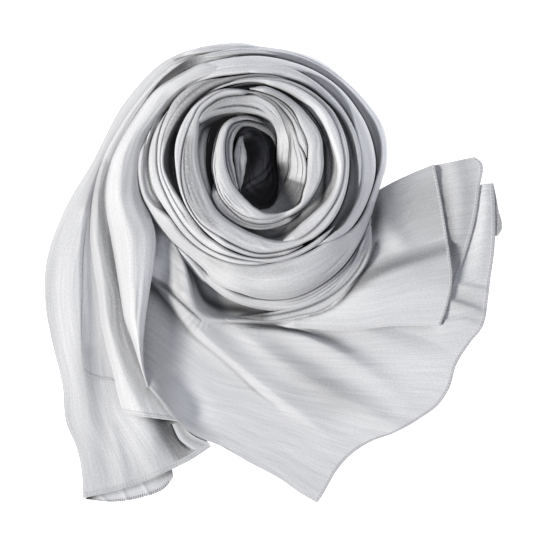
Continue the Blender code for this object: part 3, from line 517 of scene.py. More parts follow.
def curve(points, count):
    """Points at even steps of chord along a smooth curve through these rows, all columns alike."""
    table = np.asarray(points, float)
    chord = np.concatenate(([0], np.cumsum(np.hypot(*np.diff(table[:, :2], axis=0).T))))
    at = np.linspace(0, chord[-1], count)
    return np.stack([smooth(chord, column, at) for column in table.T], axis=-1)


def around(rows, turn):
    """Each column of a closed table of turns, at these angles."""
    table = np.asarray(rows, float).T
    return [smooth(table[0], column, np.mod(turn, 360.0)) for column in table[1:]]


def swelling(turn, radius):
    """Height of the coil's crests: a quarter sine, filled out by a power, from the well's lip up to the
    crown, and a quarter cosine from there down to the rim."""
    well, lip = around(WELL, turn)
    rim, edge = around(RIM, turn)
    share = np.clip((radius - well) / (rim - well), 0, 1)
    climb = np.sin(np.pi / 2 * np.clip(share / CROWN_AT, 0, 1)) ** CLIMB_POWER
    descent = np.cos(np.pi / 2 * np.clip((share - CROWN_AT) / (1 - CROWN_AT), 0, 1))
    inside = lip + (CROWN_HEIGHT - lip) * climb
    outside = edge + (CROWN_HEIGHT - edge) * descent
    return np.where(share < CROWN_AT, inside, outside)


def round_pole(turn, radius):
    """Layout points at these turns and radii from the pole."""
    angle = np.radians(turn)
    return np.stack((POLE[0] + radius * np.cos(angle), POLE[1] - radius * np.sin(angle)), axis=-1)


# The phase of a ripple wanders by so many radians over so many millimetres, both drawn from these ranges
RIPPLE_DRIFT, RIPPLE_PACE = (0.6, 1.6), (60, 140)
# Its height swells round a mean by a spread, once in so many times that way
SWELL_MEAN, SWELL_SPREAD, SWELL_SPAN = 0.6, 0.4, 1.7


def ripples(along, across, seed, wavelengths, heights):
    """Small waves that run along the cloth: a sum of sines across it, each with a height that swells and
    ebbs and a phase that wanders slowly on the way along."""
    draw = np.random.default_rng(seed)
    total = np.zeros(np.broadcast(along, across).shape)
    for wavelength, height in zip(wavelengths, heights):
        start, drift, pace = (draw.uniform(*limits) for limits in ((0, 2 * np.pi), RIPPLE_DRIFT, RIPPLE_PACE))
        swell = SWELL_MEAN + SWELL_SPREAD * np.sin(2 * np.pi * along / (SWELL_SPAN * pace) + 3 * start)
        phase = start + drift * np.sin(2 * np.pi * along / pace + start)
        total += height * swell * np.sin(2 * np.pi * across / wavelength + phase)
    return total


def fade(at, first, last, span):
    """0 at both ends of a stretch, 1 further in than span, with an S-shaped ramp between."""
    share = np.clip(np.minimum(at - first, last - at) / span, 0, 1)
    return share * share * (3 - 2 * share)


def in_scene(name, data):
    """A new object for this mesh, light or camera, in the scene."""
    thing = bpy.data.objects.new(name, data)
    bpy.context.scene.collection.objects.link(thing)
    return thing


def way_along(points, axis):
    """Mean distance of each row, or of each column, of a grid from its first one."""
    steps = np.linalg.norm(np.diff(points, axis=axis), axis=-1).mean(axis=1 - axis)
    return np.concatenate(([0], np.cumsum(steps)))


def cloth(name, points, closed_round=False, painted_light=1.0):
    """A grid of points in metres as one smooth piece, with UV in mean metres along and across the cloth and
    painted light as an attribute: the share of the light at each point between its neighbours, which the
    material paints into the colour as light and shade."""
    rows, cols = points.shape[:2]
    corner = np.arange(rows * cols).reshape(rows, cols)
    if closed_round:
        corner = np.vstack((corner, corner[:1]))
    faces = np.stack((corner[:-1, :-1], corner[1:, :-1], corner[1:, 1:], corner[:-1, 1:]), axis=-1)
    mesh = bpy.data.meshes.new(name)
    mesh.from_pydata(points.reshape(-1, 3).tolist(), [], faces.reshape(-1, 4).tolist())
    uv = np.stack(np.meshgrid(way_along(points, 0), way_along(points, 1), indexing="ij"), axis=-1)
    loops = np.empty(len(mesh.loops), np.int32)
    mesh.loops.foreach_get("vertex_index", loops)
    layer = mesh.uv_layers.new(name="Cloth")
    layer.data.foreach_set("uv", uv.reshape(-1, 2)[loops].ravel())
    lit = mesh.attributes.new("painted_light", "FLOAT", "POINT")
    lit.data.foreach_set("value", np.broadcast_to(painted_light, (rows, cols)).astype(np.float32).ravel())
    mesh.shade_smooth()
    return in_scene(name, mesh)


# Folds of the coil

TURN_STEP = 1.1  # degrees between the rows of a fold's grid
CELL_WIDTH = 0.75  # aimed-at width of its cells, for at least and at most so many of them
FEWEST_CELLS, MOST_CELLS = 12, 36
ROUNDING = np.radians(np.linspace(0, 90, 8))
ROUNDED_AT_MOST = 0.9  # of a fold's width
COIL_FOOT = 15.0  # a fold's feet end this far under the swelling, in the hidden layers
SHORTEST_FOOT = 2.0
LOWEST = 2.0  # no fold of the coil comes closer to the table
END_SPAN = 12.0  # a fold narrows and dives over so many degrees at its two ends
END_WIDTH, END_POWER = 0.25, 0.7  # share of its width that is left there, and how fast it gets there
END_SINK = 7.0  # a fold's two ends dive this far between their neighbours
FOLLOW_NARROW = 0.2  # the share of the swelling's slope that the top of a narrow fold takes on
FOLLOW_WIDTH = 45.0  # and from this width on it takes on the whole slope
FOLD_WAVELENGTHS, FOLD_WAVES = (4.1, 6.7, 11.0), (0.1, 0.16, 0.25)
CREASE_DEPTH = 1.7  # all creases deepened alike
# Creases are pressed into the shape; the contact lines are painted shade
CREASE_SPAN, SHADE_SPAN = 15.0, 12.0  # degrees over which creases and contact lines fade in
LINE_SHARPNESS = 1.6
# Painted shade: a fold's colour darkens with its depth under the swelling
DIM_FROM, DIM_REACH, DIMMEST = 4.0, 6.0, 0.06  # how the light fades with the depth under the swelling


def line_on_fold(turn, radius, width, line, span):
    """1 on a line of turns and radii, with exp(-(distance / width) ** sharpness) across it, and fading out
    over so many degrees at its ends."""
    at, where = np.asarray(line, float).T
    away = radius - smooth(at, where, np.clip(turn, at[0], at[-1]))
    return fade(turn, at[0], at[-1], span) * np.exp(-np.abs(away / width) ** LINE_SHARPNESS)


def fold_plan(rows):
    """A fold's turns, its inner and outer edge there, and how far it is present: 0 at its two ends, where it
    narrows, and 1 further in."""
    table = np.asarray(rows, float).T
    count = int(round((table[0, -1] - table[0, 0]) / TURN_STEP)) + 1
    turn = np.linspace(table[0, 0], table[0, -1], count)[:, None]
    inner = smooth(table[0], table[1], turn)
    outer = smooth(table[0], table[2], turn)
    present = fade(turn, table[0, 0], table[0, -1], END_SPAN)
    middle, half = 0.5 * (inner + outer), 0.5 * (outer - inner)
    half = half * (END_WIDTH + (1 - END_WIDTH) * present ** END_POWER)
    return turn, middle - half, middle + half, present


def fold_section(inner, outer, round_in, round_out):
    """Radii across a fold and how far each lies under its top: a foot straight up, a quarter ellipse over
    the inner edge, the band between, a quarter ellipse over the outer edge and a foot straight down."""
    width = outer - inner
    fit = np.minimum(1.0, ROUNDED_AT_MOST * width / (round_in[0] + round_out[0]))
    over_in, down_in = fit * round_in[0], fit * round_in[1]
    over_out, down_out = fit * round_out[0], fit * round_out[1]
    cells = int(np.clip(width.max() / CELL_WIDTH, FEWEST_CELLS, MOST_CELLS))
    between = np.linspace(0, 1, cells + 2)[1:-1][None, :]
    radius = np.hstack((
        inner, inner, inner + over_in * (1 - np.cos(ROUNDING)),
        inner + over_in + between * (width - over_in - over_out),
        outer - over_out * (1 - np.cos(ROUNDING[::-1])), outer, outer,
    ))
    dip = np.hstack((
        down_in, down_in, down_in * (1 - np.sin(ROUNDING)), 0 * width * between,
        down_out * (1 - np.sin(ROUNDING[::-1])), down_out, down_out,
    ))
    return radius, dip


def fold_painted_light(name, turn, radius, under):
    """Painted light on a fold: its painted tone along the way, darker as painted shade in the depth under the
    swelling and on its contact lines.
    """
    painted_tone = np.asarray(COIL_PAINTED_LIGHT.get(name, ((0, 1), (1, 1))), float).T
    painted_light = np.interp(turn, *painted_tone) + 0 * radius
    if name in COIL_FOLDS:
        painted_light = painted_light * (DIMMEST + (1 - DIMMEST) * np.exp(-np.maximum(under - DIM_FROM, 0) / DIM_REACH))
    for depth, width, line in COIL_SHADES.get(name, ()):
        painted_light = painted_light * (1 - depth * line_on_fold(turn, radius, width, line, SHADE_SPAN))
    return painted_light


def fold_of_cloth(name, lift_in, lift_out, round_in, round_out, bulge, rows, seed):
    """Points and painted light and shade of one fold of the coil. Its top follows the swelling in part, with
    a tilt, a bulge, ripples and its creases. Its two ends dive between its neighbours."""
    turn, inner, outer, present = fold_plan(rows)
    radius, dip = fold_section(inner, outer, round_in, round_out)
    middle, width = 0.5 * (inner + outer), outer - inner
    share = (radius - inner) / width
    arch = 4 * share * (1 - share)
    drop = sum(
        depth * smooth(*np.asarray(line, float).T, np.clip(turn, line[0][0], line[-1][0]))
        for depth, line in COIL_DROPS.get(name, ())
    )
    surface, level = swelling(turn, radius), swelling(turn, middle)
    follow = FOLLOW_NARROW + (1 - FOLLOW_NARROW) * np.clip(width / FOLLOW_WIDTH, 0, 1)
    crest = level - drop + follow * (surface - level) + lift_in + share * (lift_out - lift_in) + bulge * arch
    waves = ripples(np.radians(turn) * middle, radius - inner, seed, FOLD_WAVELENGTHS, FOLD_WAVES)
    height = crest - dip + np.clip(arch, 0, 1) * waves - END_SINK * (1 - present)
    for depth, crease_width, line in COIL_CREASES.get(name, ()):
        height -= CREASE_DEPTH * depth * line_on_fold(turn, radius, crease_width, line, CREASE_SPAN)
    foot = np.minimum(surface - COIL_FOOT, height - SHORTEST_FOOT)
    height[:, 0], height[:, -1] = foot[:, 0], foot[:, -1]
    height[:, 1] = 0.5 * (height[:, 0] + height[:, 2])
    height[:, -2] = 0.5 * (height[:, -1] + height[:, -3])
    height = np.maximum(height, LOWEST)
    painted_light = fold_painted_light(name, turn, radius, surface - drop - height)
    return raised(round_pole(turn, radius), height), painted_light


# Materials

# Noise on the cloth: how fine it is along and across, per metre, and its detail; the glints are painted
# highlights
THIN_STREAKS, BROAD_STREAKS = (22.0, 900.0, 3.0), (6.0, 150.0, 3.0)
WEAVE, PAINTED_GLINTS = (520.0, 900.0, 2.0), (420.0, 1300.0, 1.0)
BROAD_SHARE = 0.4
# The range of a value that counts, and what it becomes
WEAVE_RANGE, PAINTED_GLINT_RANGE, SHADE_RANGE = (0.3, 0.7, 0.91, 1.09), (0.58, 0.68, 0.0, 0.5), (0.6, 0.85, 1.0, 0.0)
STREAK_RANGE = (0.3, 0.7, 0.84, 1.09)


def noise_on_cloth(tree, scale_along, scale_across, detail):
    """Noise on the piece's own UV in metres, drawn out the way whose scale is the smaller."""
    uv = tree.nodes.new("ShaderNodeUVMap")
    uv.uv_map = "Cloth"
    mapping = tree.nodes.new("ShaderNodeMapping")
    mapping.inputs["Scale"].default_value = (scale_along, scale_across, 1.0)
    tree.links.new(uv.outputs["UV"], mapping.inputs["Vector"])
    noise = tree.nodes.new("ShaderNodeTexNoise")
    noise.inputs["Scale"].default_value = 1.0
    noise.inputs["Detail"].default_value = detail
    tree.links.new(mapping.outputs["Vector"], noise.inputs["Vector"])
    return noise.outputs["Fac"]


def in_range(tree, value, low, high, to_low, to_high):
    """A value carried over from one range to another and kept inside it."""
    carried = tree.nodes.new("ShaderNodeMapRange")
    for socket, number in zip(("From Min", "From Max", "To Min", "To Max"), (low, high, to_low, to_high)):
        carried.inputs[socket].default_value = number
    tree.links.new(value, carried.inputs["Value"])
    return carried.outputs["Result"]


def reckon(tree, operation, first, second):
    """The sum or the product of two values."""
    result = tree.nodes.new("ShaderNodeMath")
    result.operation = operation
    tree.links.new(first, result.inputs[0])
    tree.links.new(second, result.inputs[1])
    return result.outputs["Value"]


def streaks_on_cloth(tree):
    """Long thin streaks along the cloth, mixed with broader ones."""
    both = tree.nodes.new("ShaderNodeMix")
    both.data_type = "FLOAT"
    both.inputs["Factor"].default_value = BROAD_SHARE
    tree.links.new(noise_on_cloth(tree, *THIN_STREAKS), both.inputs["A"])
    tree.links.new(noise_on_cloth(tree, *BROAD_STREAKS), both.inputs["B"])
    return both.outputs["Result"]


def light_on_cloth(tree):
    """The painted light attribute times a fine weave, and in its painted shade with small painted glints
    added.
    """
    attribute = tree.nodes.new("ShaderNodeAttribute")
    attribute.attribute_name = "painted_light"
    painted_light = attribute.outputs["Fac"]
    weave = in_range(tree, noise_on_cloth(tree, *WEAVE), *WEAVE_RANGE)
    painted_glints = in_range(tree, noise_on_cloth(tree, *PAINTED_GLINTS), *PAINTED_GLINT_RANGE)
    in_shade = in_range(tree, painted_light, *SHADE_RANGE)
    woven = reckon(tree, "MULTIPLY", painted_light, weave)
    painted_glinting = reckon(tree, "MULTIPLY", reckon(tree, "MULTIPLY", painted_glints, in_shade), painted_light)
    return reckon(tree, "ADD", woven, painted_glinting)


def satin(name, tint):
    """Satin: a grey with long thin streaks along the cloth, a fine cross weave and a soft gloss, its colour
    scaled by the painted light and shade of its attribute, with painted glints in the shade.
    """
    material = bpy.data.materials.new(name)
    material.use_nodes = True
    tree = material.node_tree
    nodes, links = tree.nodes, tree.links
    shader = nodes["Principled BSDF"]
    shader.inputs["Roughness"].default_value = 0.52
    shader.inputs["Specular IOR Level"].default_value = 0.3
    shader.inputs["Sheen Weight"].default_value = 0.1
    shader.inputs["Sheen Roughness"].default_value = 0.5
    streaks = streaks_on_cloth(tree)
    ramp = nodes.new("ShaderNodeValToRGB")
    for element, position, strength in zip(ramp.color_ramp.elements, STREAK_RANGE[:2], STREAK_RANGE[2:]):
        element.position = position
        element.color = (*(strength * np.array(tint)), 1.0)
    links.new(streaks, ramp.inputs["Fac"])
    lit = nodes.new("ShaderNodeVectorMath")
    lit.operation = "SCALE"
    links.new(ramp.outputs["Color"], lit.inputs["Vector"])
    links.new(light_on_cloth(tree), lit.inputs["Scale"])
    links.new(lit.outputs["Vector"], shader.inputs["Base Color"])
    bump = nodes.new("ShaderNodeBump")
    bump.inputs["Strength"].default_value = 0.2
    bump.inputs["Distance"].default_value = 0.0006
    links.new(streaks, bump.inputs["Height"])
    links.new(bump.outputs["Normal"], shader.inputs["Normal"])
    return material


def plain(name, colour, roughness, glow=0.0):
    """One even colour, with a glow of its own for the table."""
    material = bpy.data.materials.new(name)
    material.use_nodes = True
    shader = material.node_tree.nodes["Principled BSDF"]
    shader.inputs["Base Color"].default_value = (*colour, 1.0)
    shader.inputs["Roughness"].default_value = roughness
    shader.inputs["Emission Color"].default_value = (1.0, 1.0, 1.0, 1.0)
    shader.inputs["Emission Strength"].default_value = glow
    return material


SILVER = satin("Silver satin", (0.585, 0.585, 0.592))
# A near-black copy of the silver satin for the hidden layers: painted deep shade, as the cloth there is the
# same silver
PAINTED_SHADE_SATIN = satin("Silver satin painted in deep shade", (0.07, 0.07, 0.075))
THREAD = plain("Grey sewing thread", (0.32, 0.32, 0.34), 0.6)


def dress(piece, node, material=SILVER):
    """A piece takes its material and stands for a node of the same body."""
    piece.data.materials.append(material)
    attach(piece, "root")
    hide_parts(node)
    return piece


def coil_sheet(name, node, row, seed):
    """One fold or side of the coil as a sheet of satin."""
    points, painted_light = fold_of_cloth(name, *row, seed=seed)
    sheet = dress(cloth(name + "_satin", points, painted_light=painted_light), node)


FIRST_FOLD_SEED, FIRST_SIDE_SEED = 100, 200

for order, (node, row) in enumerate(COIL_FOLDS.items()):
    coil_sheet(node, node, row, FIRST_FOLD_SEED + order)
for order, (name, (node, *row)) in enumerate(COIL_SIDES.items()):
    coil_sheet(name, node, row, FIRST_SIDE_SEED + order)


# Lines on spread cloth and in the well

NARROWEST_REACH = 0.5
LINE_STEPS = 48
SHADE_LIMITS = (-0.45, 0.93)


def ridge(plan, sharpness, points):
    """A long crest or crease. Each layout point takes the height of the nearest point of its line, times
    exp(-(distance / reach) ** sharpness). Each row of the line holds across, down, height and its reach to
    the left and to the right as one walks along it, or one reach for both sides."""
    line = curve(points, LINE_STEPS)
    start, step = line[:-1], np.diff(line, axis=0)
    away = plan[..., None, :] - start[:, :2]
    share = np.clip((away * step[:, :2]).sum(-1) / (step[:, :2] ** 2).sum(-1), 0, 1)
    distance = np.linalg.norm(away - share[..., None] * step[:, :2], axis=-1)
    nearest = distance.argmin(-1)[..., None]

    def pick(values):
        """The value that belongs to the nearest stretch of the line."""
        return np.take_along_axis(values, nearest, -1)[..., 0]

    side = pick(step[:, 0] * away[..., 1] - step[:, 1] * away[..., 0])
    rise, left, right = (pick(start[:, column] + share * step[:, column]) for column in (2, 3, -1))
    reach = np.maximum(np.where(side > 0, right, left), NARROWEST_REACH)
    return rise * np.exp(-(pick(distance) / reach) ** sharpness)


def shaded(plan, shades):
    """Painted light and shade at each layout point: the share of the light painted into the colour, darker
    beside the hollows and edges in these lines and lighter where a row's height is negative.
    """
    return 1 - np.clip(sum(ridge(plan, *row) for row in shades), *SHADE_LIMITS)


# Hidden layers of the coil: the surface between and under the folds, with the well

# Painted faint light on the inner wraps at the bottom of the well, and painted dark lines where a row's
# height is negative: sharpness and lines, as for ridge()
WELL_PAINTED_GLEAMS = (
    (2, (
        (257, 138, 0.7, 3, 3), (264, 149, 1.2, 4, 4), (265, 162, 1.8, 5, 7), (260, 175, 2.2, 8, 9),
        (250, 186, 1.8, 5, 6),
    )),
    (1.6, (
        (270, 150, -1, 1.2), (269, 164, -1.4, 1.1), (262, 174, -1.6, 1), (250, 181, -1.5, 1),
        (243, 187, -1, 1),
    )),
    (1.6, ((273, 168, -1, 1), (266, 179, -1.4, 1), (252, 187, -1.2, 1), (246, 190, -0.8, 1))),
    (2, ((243, 139, 0.5, 3), (247.5, 135.4, 3, 3), (253, 137, 0.6, 3))),
    (1.6, (
        (238.5, 150, 0.8, 1.4), (240, 136, 1.2, 1.4), (248, 129.6, 1.4, 1.4), (259, 132, 1.2, 1.4),
        (266, 144, 0.9, 1.4), (269, 160, 0.6, 1.4),
    )),
)
# Shares of the way from the well to the rim at which their top is worked out
CORE_SHARES = np.array((0.0, 0.04, 0.1, 0.18, 0.3, 0.42, 0.55, 0.68, 0.8, 0.9, 0.96, 1.0))
CORE_UNDER = 17.0  # depth of their top under the swelling
CORE_RIM_INSET = 6.0
CORE_LOWEST = 4.0
CORE_STEP = 1.5  # degrees
FLOOR_RINGS, WALL_RINGS, TOP_RINGS = 24, 25, 49
FLOOR_START, FLOOR_REACH = 0.001, 0.9  # of the well's radius
FLOOR_HEIGHT, FLOOR_RISE = 5.0, 4.0
SPIRAL_ON_FLOOR, SPIRAL_ON_WALL = 0.5, 1.2  # height and depth of the spiral ridges
WINDS_ON_FLOOR, WINDS_ON_WALL = 4, 5
# Painted shade in the well: the share of the light painted into its colour, and the least share
WELL_PAINTED_LIGHT, WELL_LEAST_PAINTED_LIGHT = 0.12, 0.04
# Painted light on the well's far side: its share, the turn it is brightest at, its span in degrees, and the
# radii over which it comes in
FAR_SIDE_PAINTED_LIGHT, FAR_TURN, FAR_SPAN, FAR_FROM, FAR_TO = 0.22, 75, 30, 8, 20


def spiral(turn, share, height, winds):
    """A spiral ridge: a sine that goes through so many winds over a stretch of rings, fading at its ends."""
    return height * np.sin(2 * np.pi * (share * winds - turn / 360)) * np.sin(np.pi * share)


def hidden_layers():
    """Rings round the pole from the middle of the well's floor, up its wall, over the buried layers, down
    to the table outside and back to the middle underneath. Spiral ridges run through the well."""
    turn = np.arange(0, 360, CORE_STEP)[:, None]
    well, rim = around(WELL, turn)[0], around(RIM, turn)[0]
    foot = rim - CORE_RIM_INSET
    floor_share = np.linspace(FLOOR_START, FLOOR_REACH, FLOOR_RINGS)[None, :]
    wall_share = np.linspace(0, 1, WALL_RINGS + 1)[1:][None, :]
    shares = np.arange(len(CORE_SHARES))
    top_share = np.interp(np.linspace(0, shares[-1], TOP_RINGS + 1), shares, CORE_SHARES)[1:][None, :]
    wall_radius = well * (FLOOR_REACH + (1 - FLOOR_REACH) * wall_share)
    top_radius = well + top_share * (foot - well)
    floor_height = FLOOR_HEIGHT + FLOOR_RISE * floor_share ** 2 + 0 * turn
    lip_height = np.maximum(swelling(turn, well) - CORE_UNDER, CORE_LOWEST)
    wall_height = floor_height[:, -1:] + (lip_height - floor_height[:, -1:]) * wall_share
    top_height = np.maximum(swelling(turn, top_radius) - CORE_UNDER, CORE_LOWEST)
    radius = np.hstack((
        floor_share * well, wall_radius - spiral(turn, wall_share, SPIRAL_ON_WALL, WINDS_ON_WALL),
        top_radius, foot + 1, foot, 0 * rim + 1,
    ))
    height = np.hstack((
        floor_height + spiral(turn, floor_share, SPIRAL_ON_FLOOR, WINDS_ON_FLOOR), wall_height,
        top_height, 0 * rim + 2, 0 * rim, 0 * rim,
    ))
    # Painted light and shade in the well: a low share, painted light on its far side and the painted gleams
    across = np.clip((radius - FAR_FROM) / (FAR_TO - FAR_FROM), 0, 1)
    far_side = FAR_SIDE_PAINTED_LIGHT * np.exp(-((turn - FAR_TURN) / FAR_SPAN) ** 2) * across
    layout = round_pole(turn, radius)
    painted_gleams = sum(ridge(layout, *row) for row in WELL_PAINTED_GLEAMS)
    painted_light = np.maximum(WELL_PAINTED_LIGHT + far_side + painted_gleams, WELL_LEAST_PAINTED_LIGHT)
    return cloth("hidden_layers", raised(layout, height), closed_round=True, painted_light=painted_light)


dress(hidden_layers(), "coil_core", PAINTED_SHADE_SATIN)


# Spread cloth

SPREAD_WAVELENGTHS, ROLL_WAVELENGTHS = (5.3, 9.1, 17.0), (4.6, 8.0, 15.0)
SHEET_WAVES, ROLL_WAVES = (0.04, 0.08, 0.2), (0.14, 0.24, 0.45)
INNER_WAVES, TURNED_WAVES, CORNER_WAVES = (0.05, 0.1, 0.1), (0.05, 0.1, 0.2), (0.03, 0.05, 0.1)
ROLL_LIP_WIDTH, ROLL_LIP_SHARPNESS = 1.6, 1.5
ROLL_CALM = 0.15  # share of its width over which a roll's ripples fade out at each edge
SHEET_LOWEST = 0.4


def patch(first, last, near, far, rows, cols, lean=1.0):
    """Coons patch between four edge curves: across runs from near to far, along runs from first to last."""
    v = np.linspace(0, 1, rows)[:, None, None]
    share = np.linspace(0, 1, cols)[None, :, None]
    u = 1 - (1 - share) ** lean
    begin, finish = curve(first, cols)[None], curve(last, cols)[None]
    side, other = curve(near, rows)[:, None], curve(far, rows)[:, None]
    corners = (
        (1 - u) * (1 - v) * begin[:, :1] + u * (1 - v) * begin[:, -1:]
        + (1 - u) * v * finish[:, :1] + u * v * finish[:, -1:]
    )
    return (1 - v) * begin + v * finish + (1 - u) * side + u * other - corners


def strip(near, far, rows, cols):
    """Coons patch between two long edges, closed by straight lines at their ends."""
    return patch((near[0], far[0]), (near[-1], far[-1]), near, far, rows, cols)


def waves_of(plan, seed, wavelengths, heights):
    """Ripples that run along a sheet, its columns taken as the way across."""
    return ripples(way_along(plan, 0)[:, None], way_along(plan, 1)[None, :], seed, wavelengths, heights)


def lie(plan, base, ridges, seed, heights=SHEET_WAVES):
    """Points of a sheet on the table or on other cloth: its base height, its ridges and its ripples."""
    waves = waves_of(plan, seed, SPREAD_WAVELENGTHS, heights)
    height = base + sum(ridge(plan, *row) for row in ridges) + waves
    return raised(plan, np.maximum(height, SHEET_LOWEST))


def roll(rows, count, cells, seed, foot_right, foot_left, lip=4.0):
    """Points of a long raised fold. Each row holds its right edge and its left edge on the layout, the
    heights of its crest, right edge and left edge, and the crest's share of the way from the right. The
    section climbs to the crest by a quarter sine and comes down by a quarter cosine, with a rounded lip
    and a foot on each side."""
    rows = curve(rows, count)
    right, left = rows[:, None, 0:2], rows[:, None, 2:4]
    crest, high, low, top = (rows[:, column:column + 1] for column in range(4, 8))
    share = np.linspace(0, 1, cells)[None, :]
    rising = high + (crest - high) * np.sin(np.pi / 2 * np.clip(share / top, 0, 1))
    falling = low + (crest - low) * np.cos(np.pi / 2 * np.clip((share - top) / (1 - top), 0, 1))
    height = np.where(share < top, rising, falling)
    away = np.minimum(share, 1 - share) * np.linalg.norm(left - right, axis=-1)
    height = height - lip * np.exp(-(away / ROLL_LIP_WIDTH) ** ROLL_LIP_SHARPNESS)
    plan = right + share[..., None] * (left - right)
    height = height + fade(share, 0, 1, ROLL_CALM) * waves_of(plan, seed, ROLL_WAVELENGTHS, ROLL_WAVES)
    plan = np.concatenate((plan[:, :1], plan, plan[:, -1:]), axis=1)
    height = np.hstack((0 * crest + foot_right, height, 0 * crest + foot_left))
    return raised(plan, height)


def shift_in(points, depth):
    """The points at these distances in metres from a grid's last row, measured along its columns."""
    step = np.linalg.norm(points[-1] - points[-4], axis=-1) / 3
    at = np.asarray(depth)[:, None] / step[None, :]
    low = np.clip(np.floor(at).astype(int), 0, len(points) - 2)
    part = (at - low)[..., None]
    column = np.arange(points.shape[1])[None, :]
    return points[-1 - low, column] * (1 - part) + points[-2 - low, column] * part


# Sewing, in metres

# Distances from the edge as shares of a hem's width, and the hem's rises there over the sheet
HEM_DEPTHS = np.array((-0.1, -0.06, 0.08, 0.28, 0.46, 0.64, 0.84, 0.98, 1.0))
HEM_RISES = np.array((-0.6, 0.1, 0.4, 0.25, 0.35, 0.25, 0.3, 0.1, -0.5)) / MILLIMETRES
HEM_LOWEST = 0.0002
STITCH_LINES = np.array((0.28, 0.68))
STITCH_RISE = 0.25 / MILLIMETRES
STITCH_PITCH, STITCH_LENGTH, STITCH_RADIUS = 0.0034, 0.0021, 0.00026
OVERLOCK_PITCH, OVERLOCK_SLANT, OVERLOCK_LIFT, OVERLOCK_RADIUS = 0.0023, 0.0007, 0.0003, 0.00028


def hem_of(points, width):
    """A turned hem along a grid's last row: a narrow double fold that stands a little off the sheet."""
    band = shift_in(points, HEM_DEPTHS * width)
    band[..., 2] = np.maximum(band[..., 2] + HEM_RISES[:, None], HEM_LOWEST)
    return band.transpose(1, 0, 2)


def chord_of(line):
    """Distance of each point of a line from its first one."""
    return np.concatenate(([0], np.cumsum(np.linalg.norm(np.diff(line, axis=0), axis=1))))


def on_line(line, chord, at):
    """Points of a line at these distances, where chord holds the distance of each of its points."""
    return np.stack([np.interp(at, chord, line[:, axis]) for axis in range(3)], axis=-1)


def stitches_of(name, points, width):
    """Two rows of stitches along a grid's last row, each stitch a short round-ended rod."""
    rods = []
    for line in shift_in(points, STITCH_LINES * width):
        line = line + np.array((0, 0, STITCH_RISE))
        chord = chord_of(line)
        begin = np.arange(STITCH_PITCH, chord[-1] - STITCH_PITCH, STITCH_PITCH)
        rods.append(np.stack([on_line(line, chord, begin + part) for part in (0, STITCH_LENGTH)], axis=1))
    return rods_of(name, np.concatenate(rods), STITCH_RADIUS)


def overlock_of(name, points, columns):
    """Short slanting threads over the edge at a grid's last column, from there to so many columns in."""
    edge, inside = points[:, -1], points[:, -1 - columns]
    chord = chord_of(edge)
    begin = np.arange(3 * OVERLOCK_PITCH, chord[-1] - 3 * OVERLOCK_PITCH, OVERLOCK_PITCH)
    ends = np.stack((on_line(edge, chord, begin), on_line(inside, chord, begin + OVERLOCK_SLANT)), axis=1)
    return rods_of(name, ends + np.array((0, 0, OVERLOCK_LIFT)), OVERLOCK_RADIUS)


RING = np.radians(np.arange(0, 360, 60))
ROD_SHARES, ROD_SWELL = (0.0, 0.22, 0.78, 1.0), (0.35, 1.0, 1.0, 0.35)


def rods_of(name, ends, radius):
    """Many short rods as one mesh, each from its first end to its second, with four rings of six points
    that swell from a narrow end to the full radius and back."""
    first, second = ends[:, 0], ends[:, 1]
    run = second - first
    forward = run / np.linalg.norm(run, axis=1, keepdims=True)
    sideways = np.cross(forward, (0.0, 0.0, 1.0))
    sideways /= np.maximum(np.linalg.norm(sideways, axis=1, keepdims=True), 1e-9)
    upward = np.cross(sideways, forward)
    share = np.array(ROD_SHARES)[None, :, None, None]
    swell = np.array(ROD_SWELL)[None, :, None, None] * radius
    round_ring = (
        np.cos(RING)[None, None, :, None] * sideways[:, None, None, :]
        + np.sin(RING)[None, None, :, None] * upward[:, None, None, :]
    )
    points = first[:, None, None, :] + share * run[:, None, None, :] + swell * round_ring
    corner = np.arange(len(ROD_SHARES) * len(RING)).reshape(len(ROD_SHARES), len(RING))
    beside = np.roll(corner, -1, axis=1)
    sides = np.stack((corner[:-1], beside[:-1], beside[1:], corner[1:]), axis=-1).reshape(-1, 4)
    faces = (sides[None] + corner.size * np.arange(len(ends))[:, None, None]).reshape(-1, 4)
    mesh = bpy.data.meshes.new(name)
    mesh.from_pydata(points.reshape(-1, 3).tolist(), [], faces.tolist())
    mesh.shade_smooth()
    return in_scene(name, mesh)


# Edges of the spread cloth on the layout, and its ridges and shades

TAIL_OUTER_EDGE = (
    (221, 44), (190, 50), (168, 59), (125, 102), (93, 161), (62.5, 214), (46, 264), (45.5, 306), (52, 342),
    (62.5, 386), (66, 422), (77, 449), (82, 476), (83, 498),
)
TAIL_INNER_EDGE = (
    (219, 47.4), (192, 58), (172.5, 70), (160, 91), (154, 108), (149, 128), (143, 152), (140.5, 178),
    (145, 203), (149.5, 233), (150, 259), (144, 295), (141.5, 330), (144, 359), (154, 383), (166, 400),
    (182, 417), (199, 430.5), (211, 446),
)
TAIL_HEM = ((83, 498), (130, 486), (165, 472), (195, 457), (211, 446))
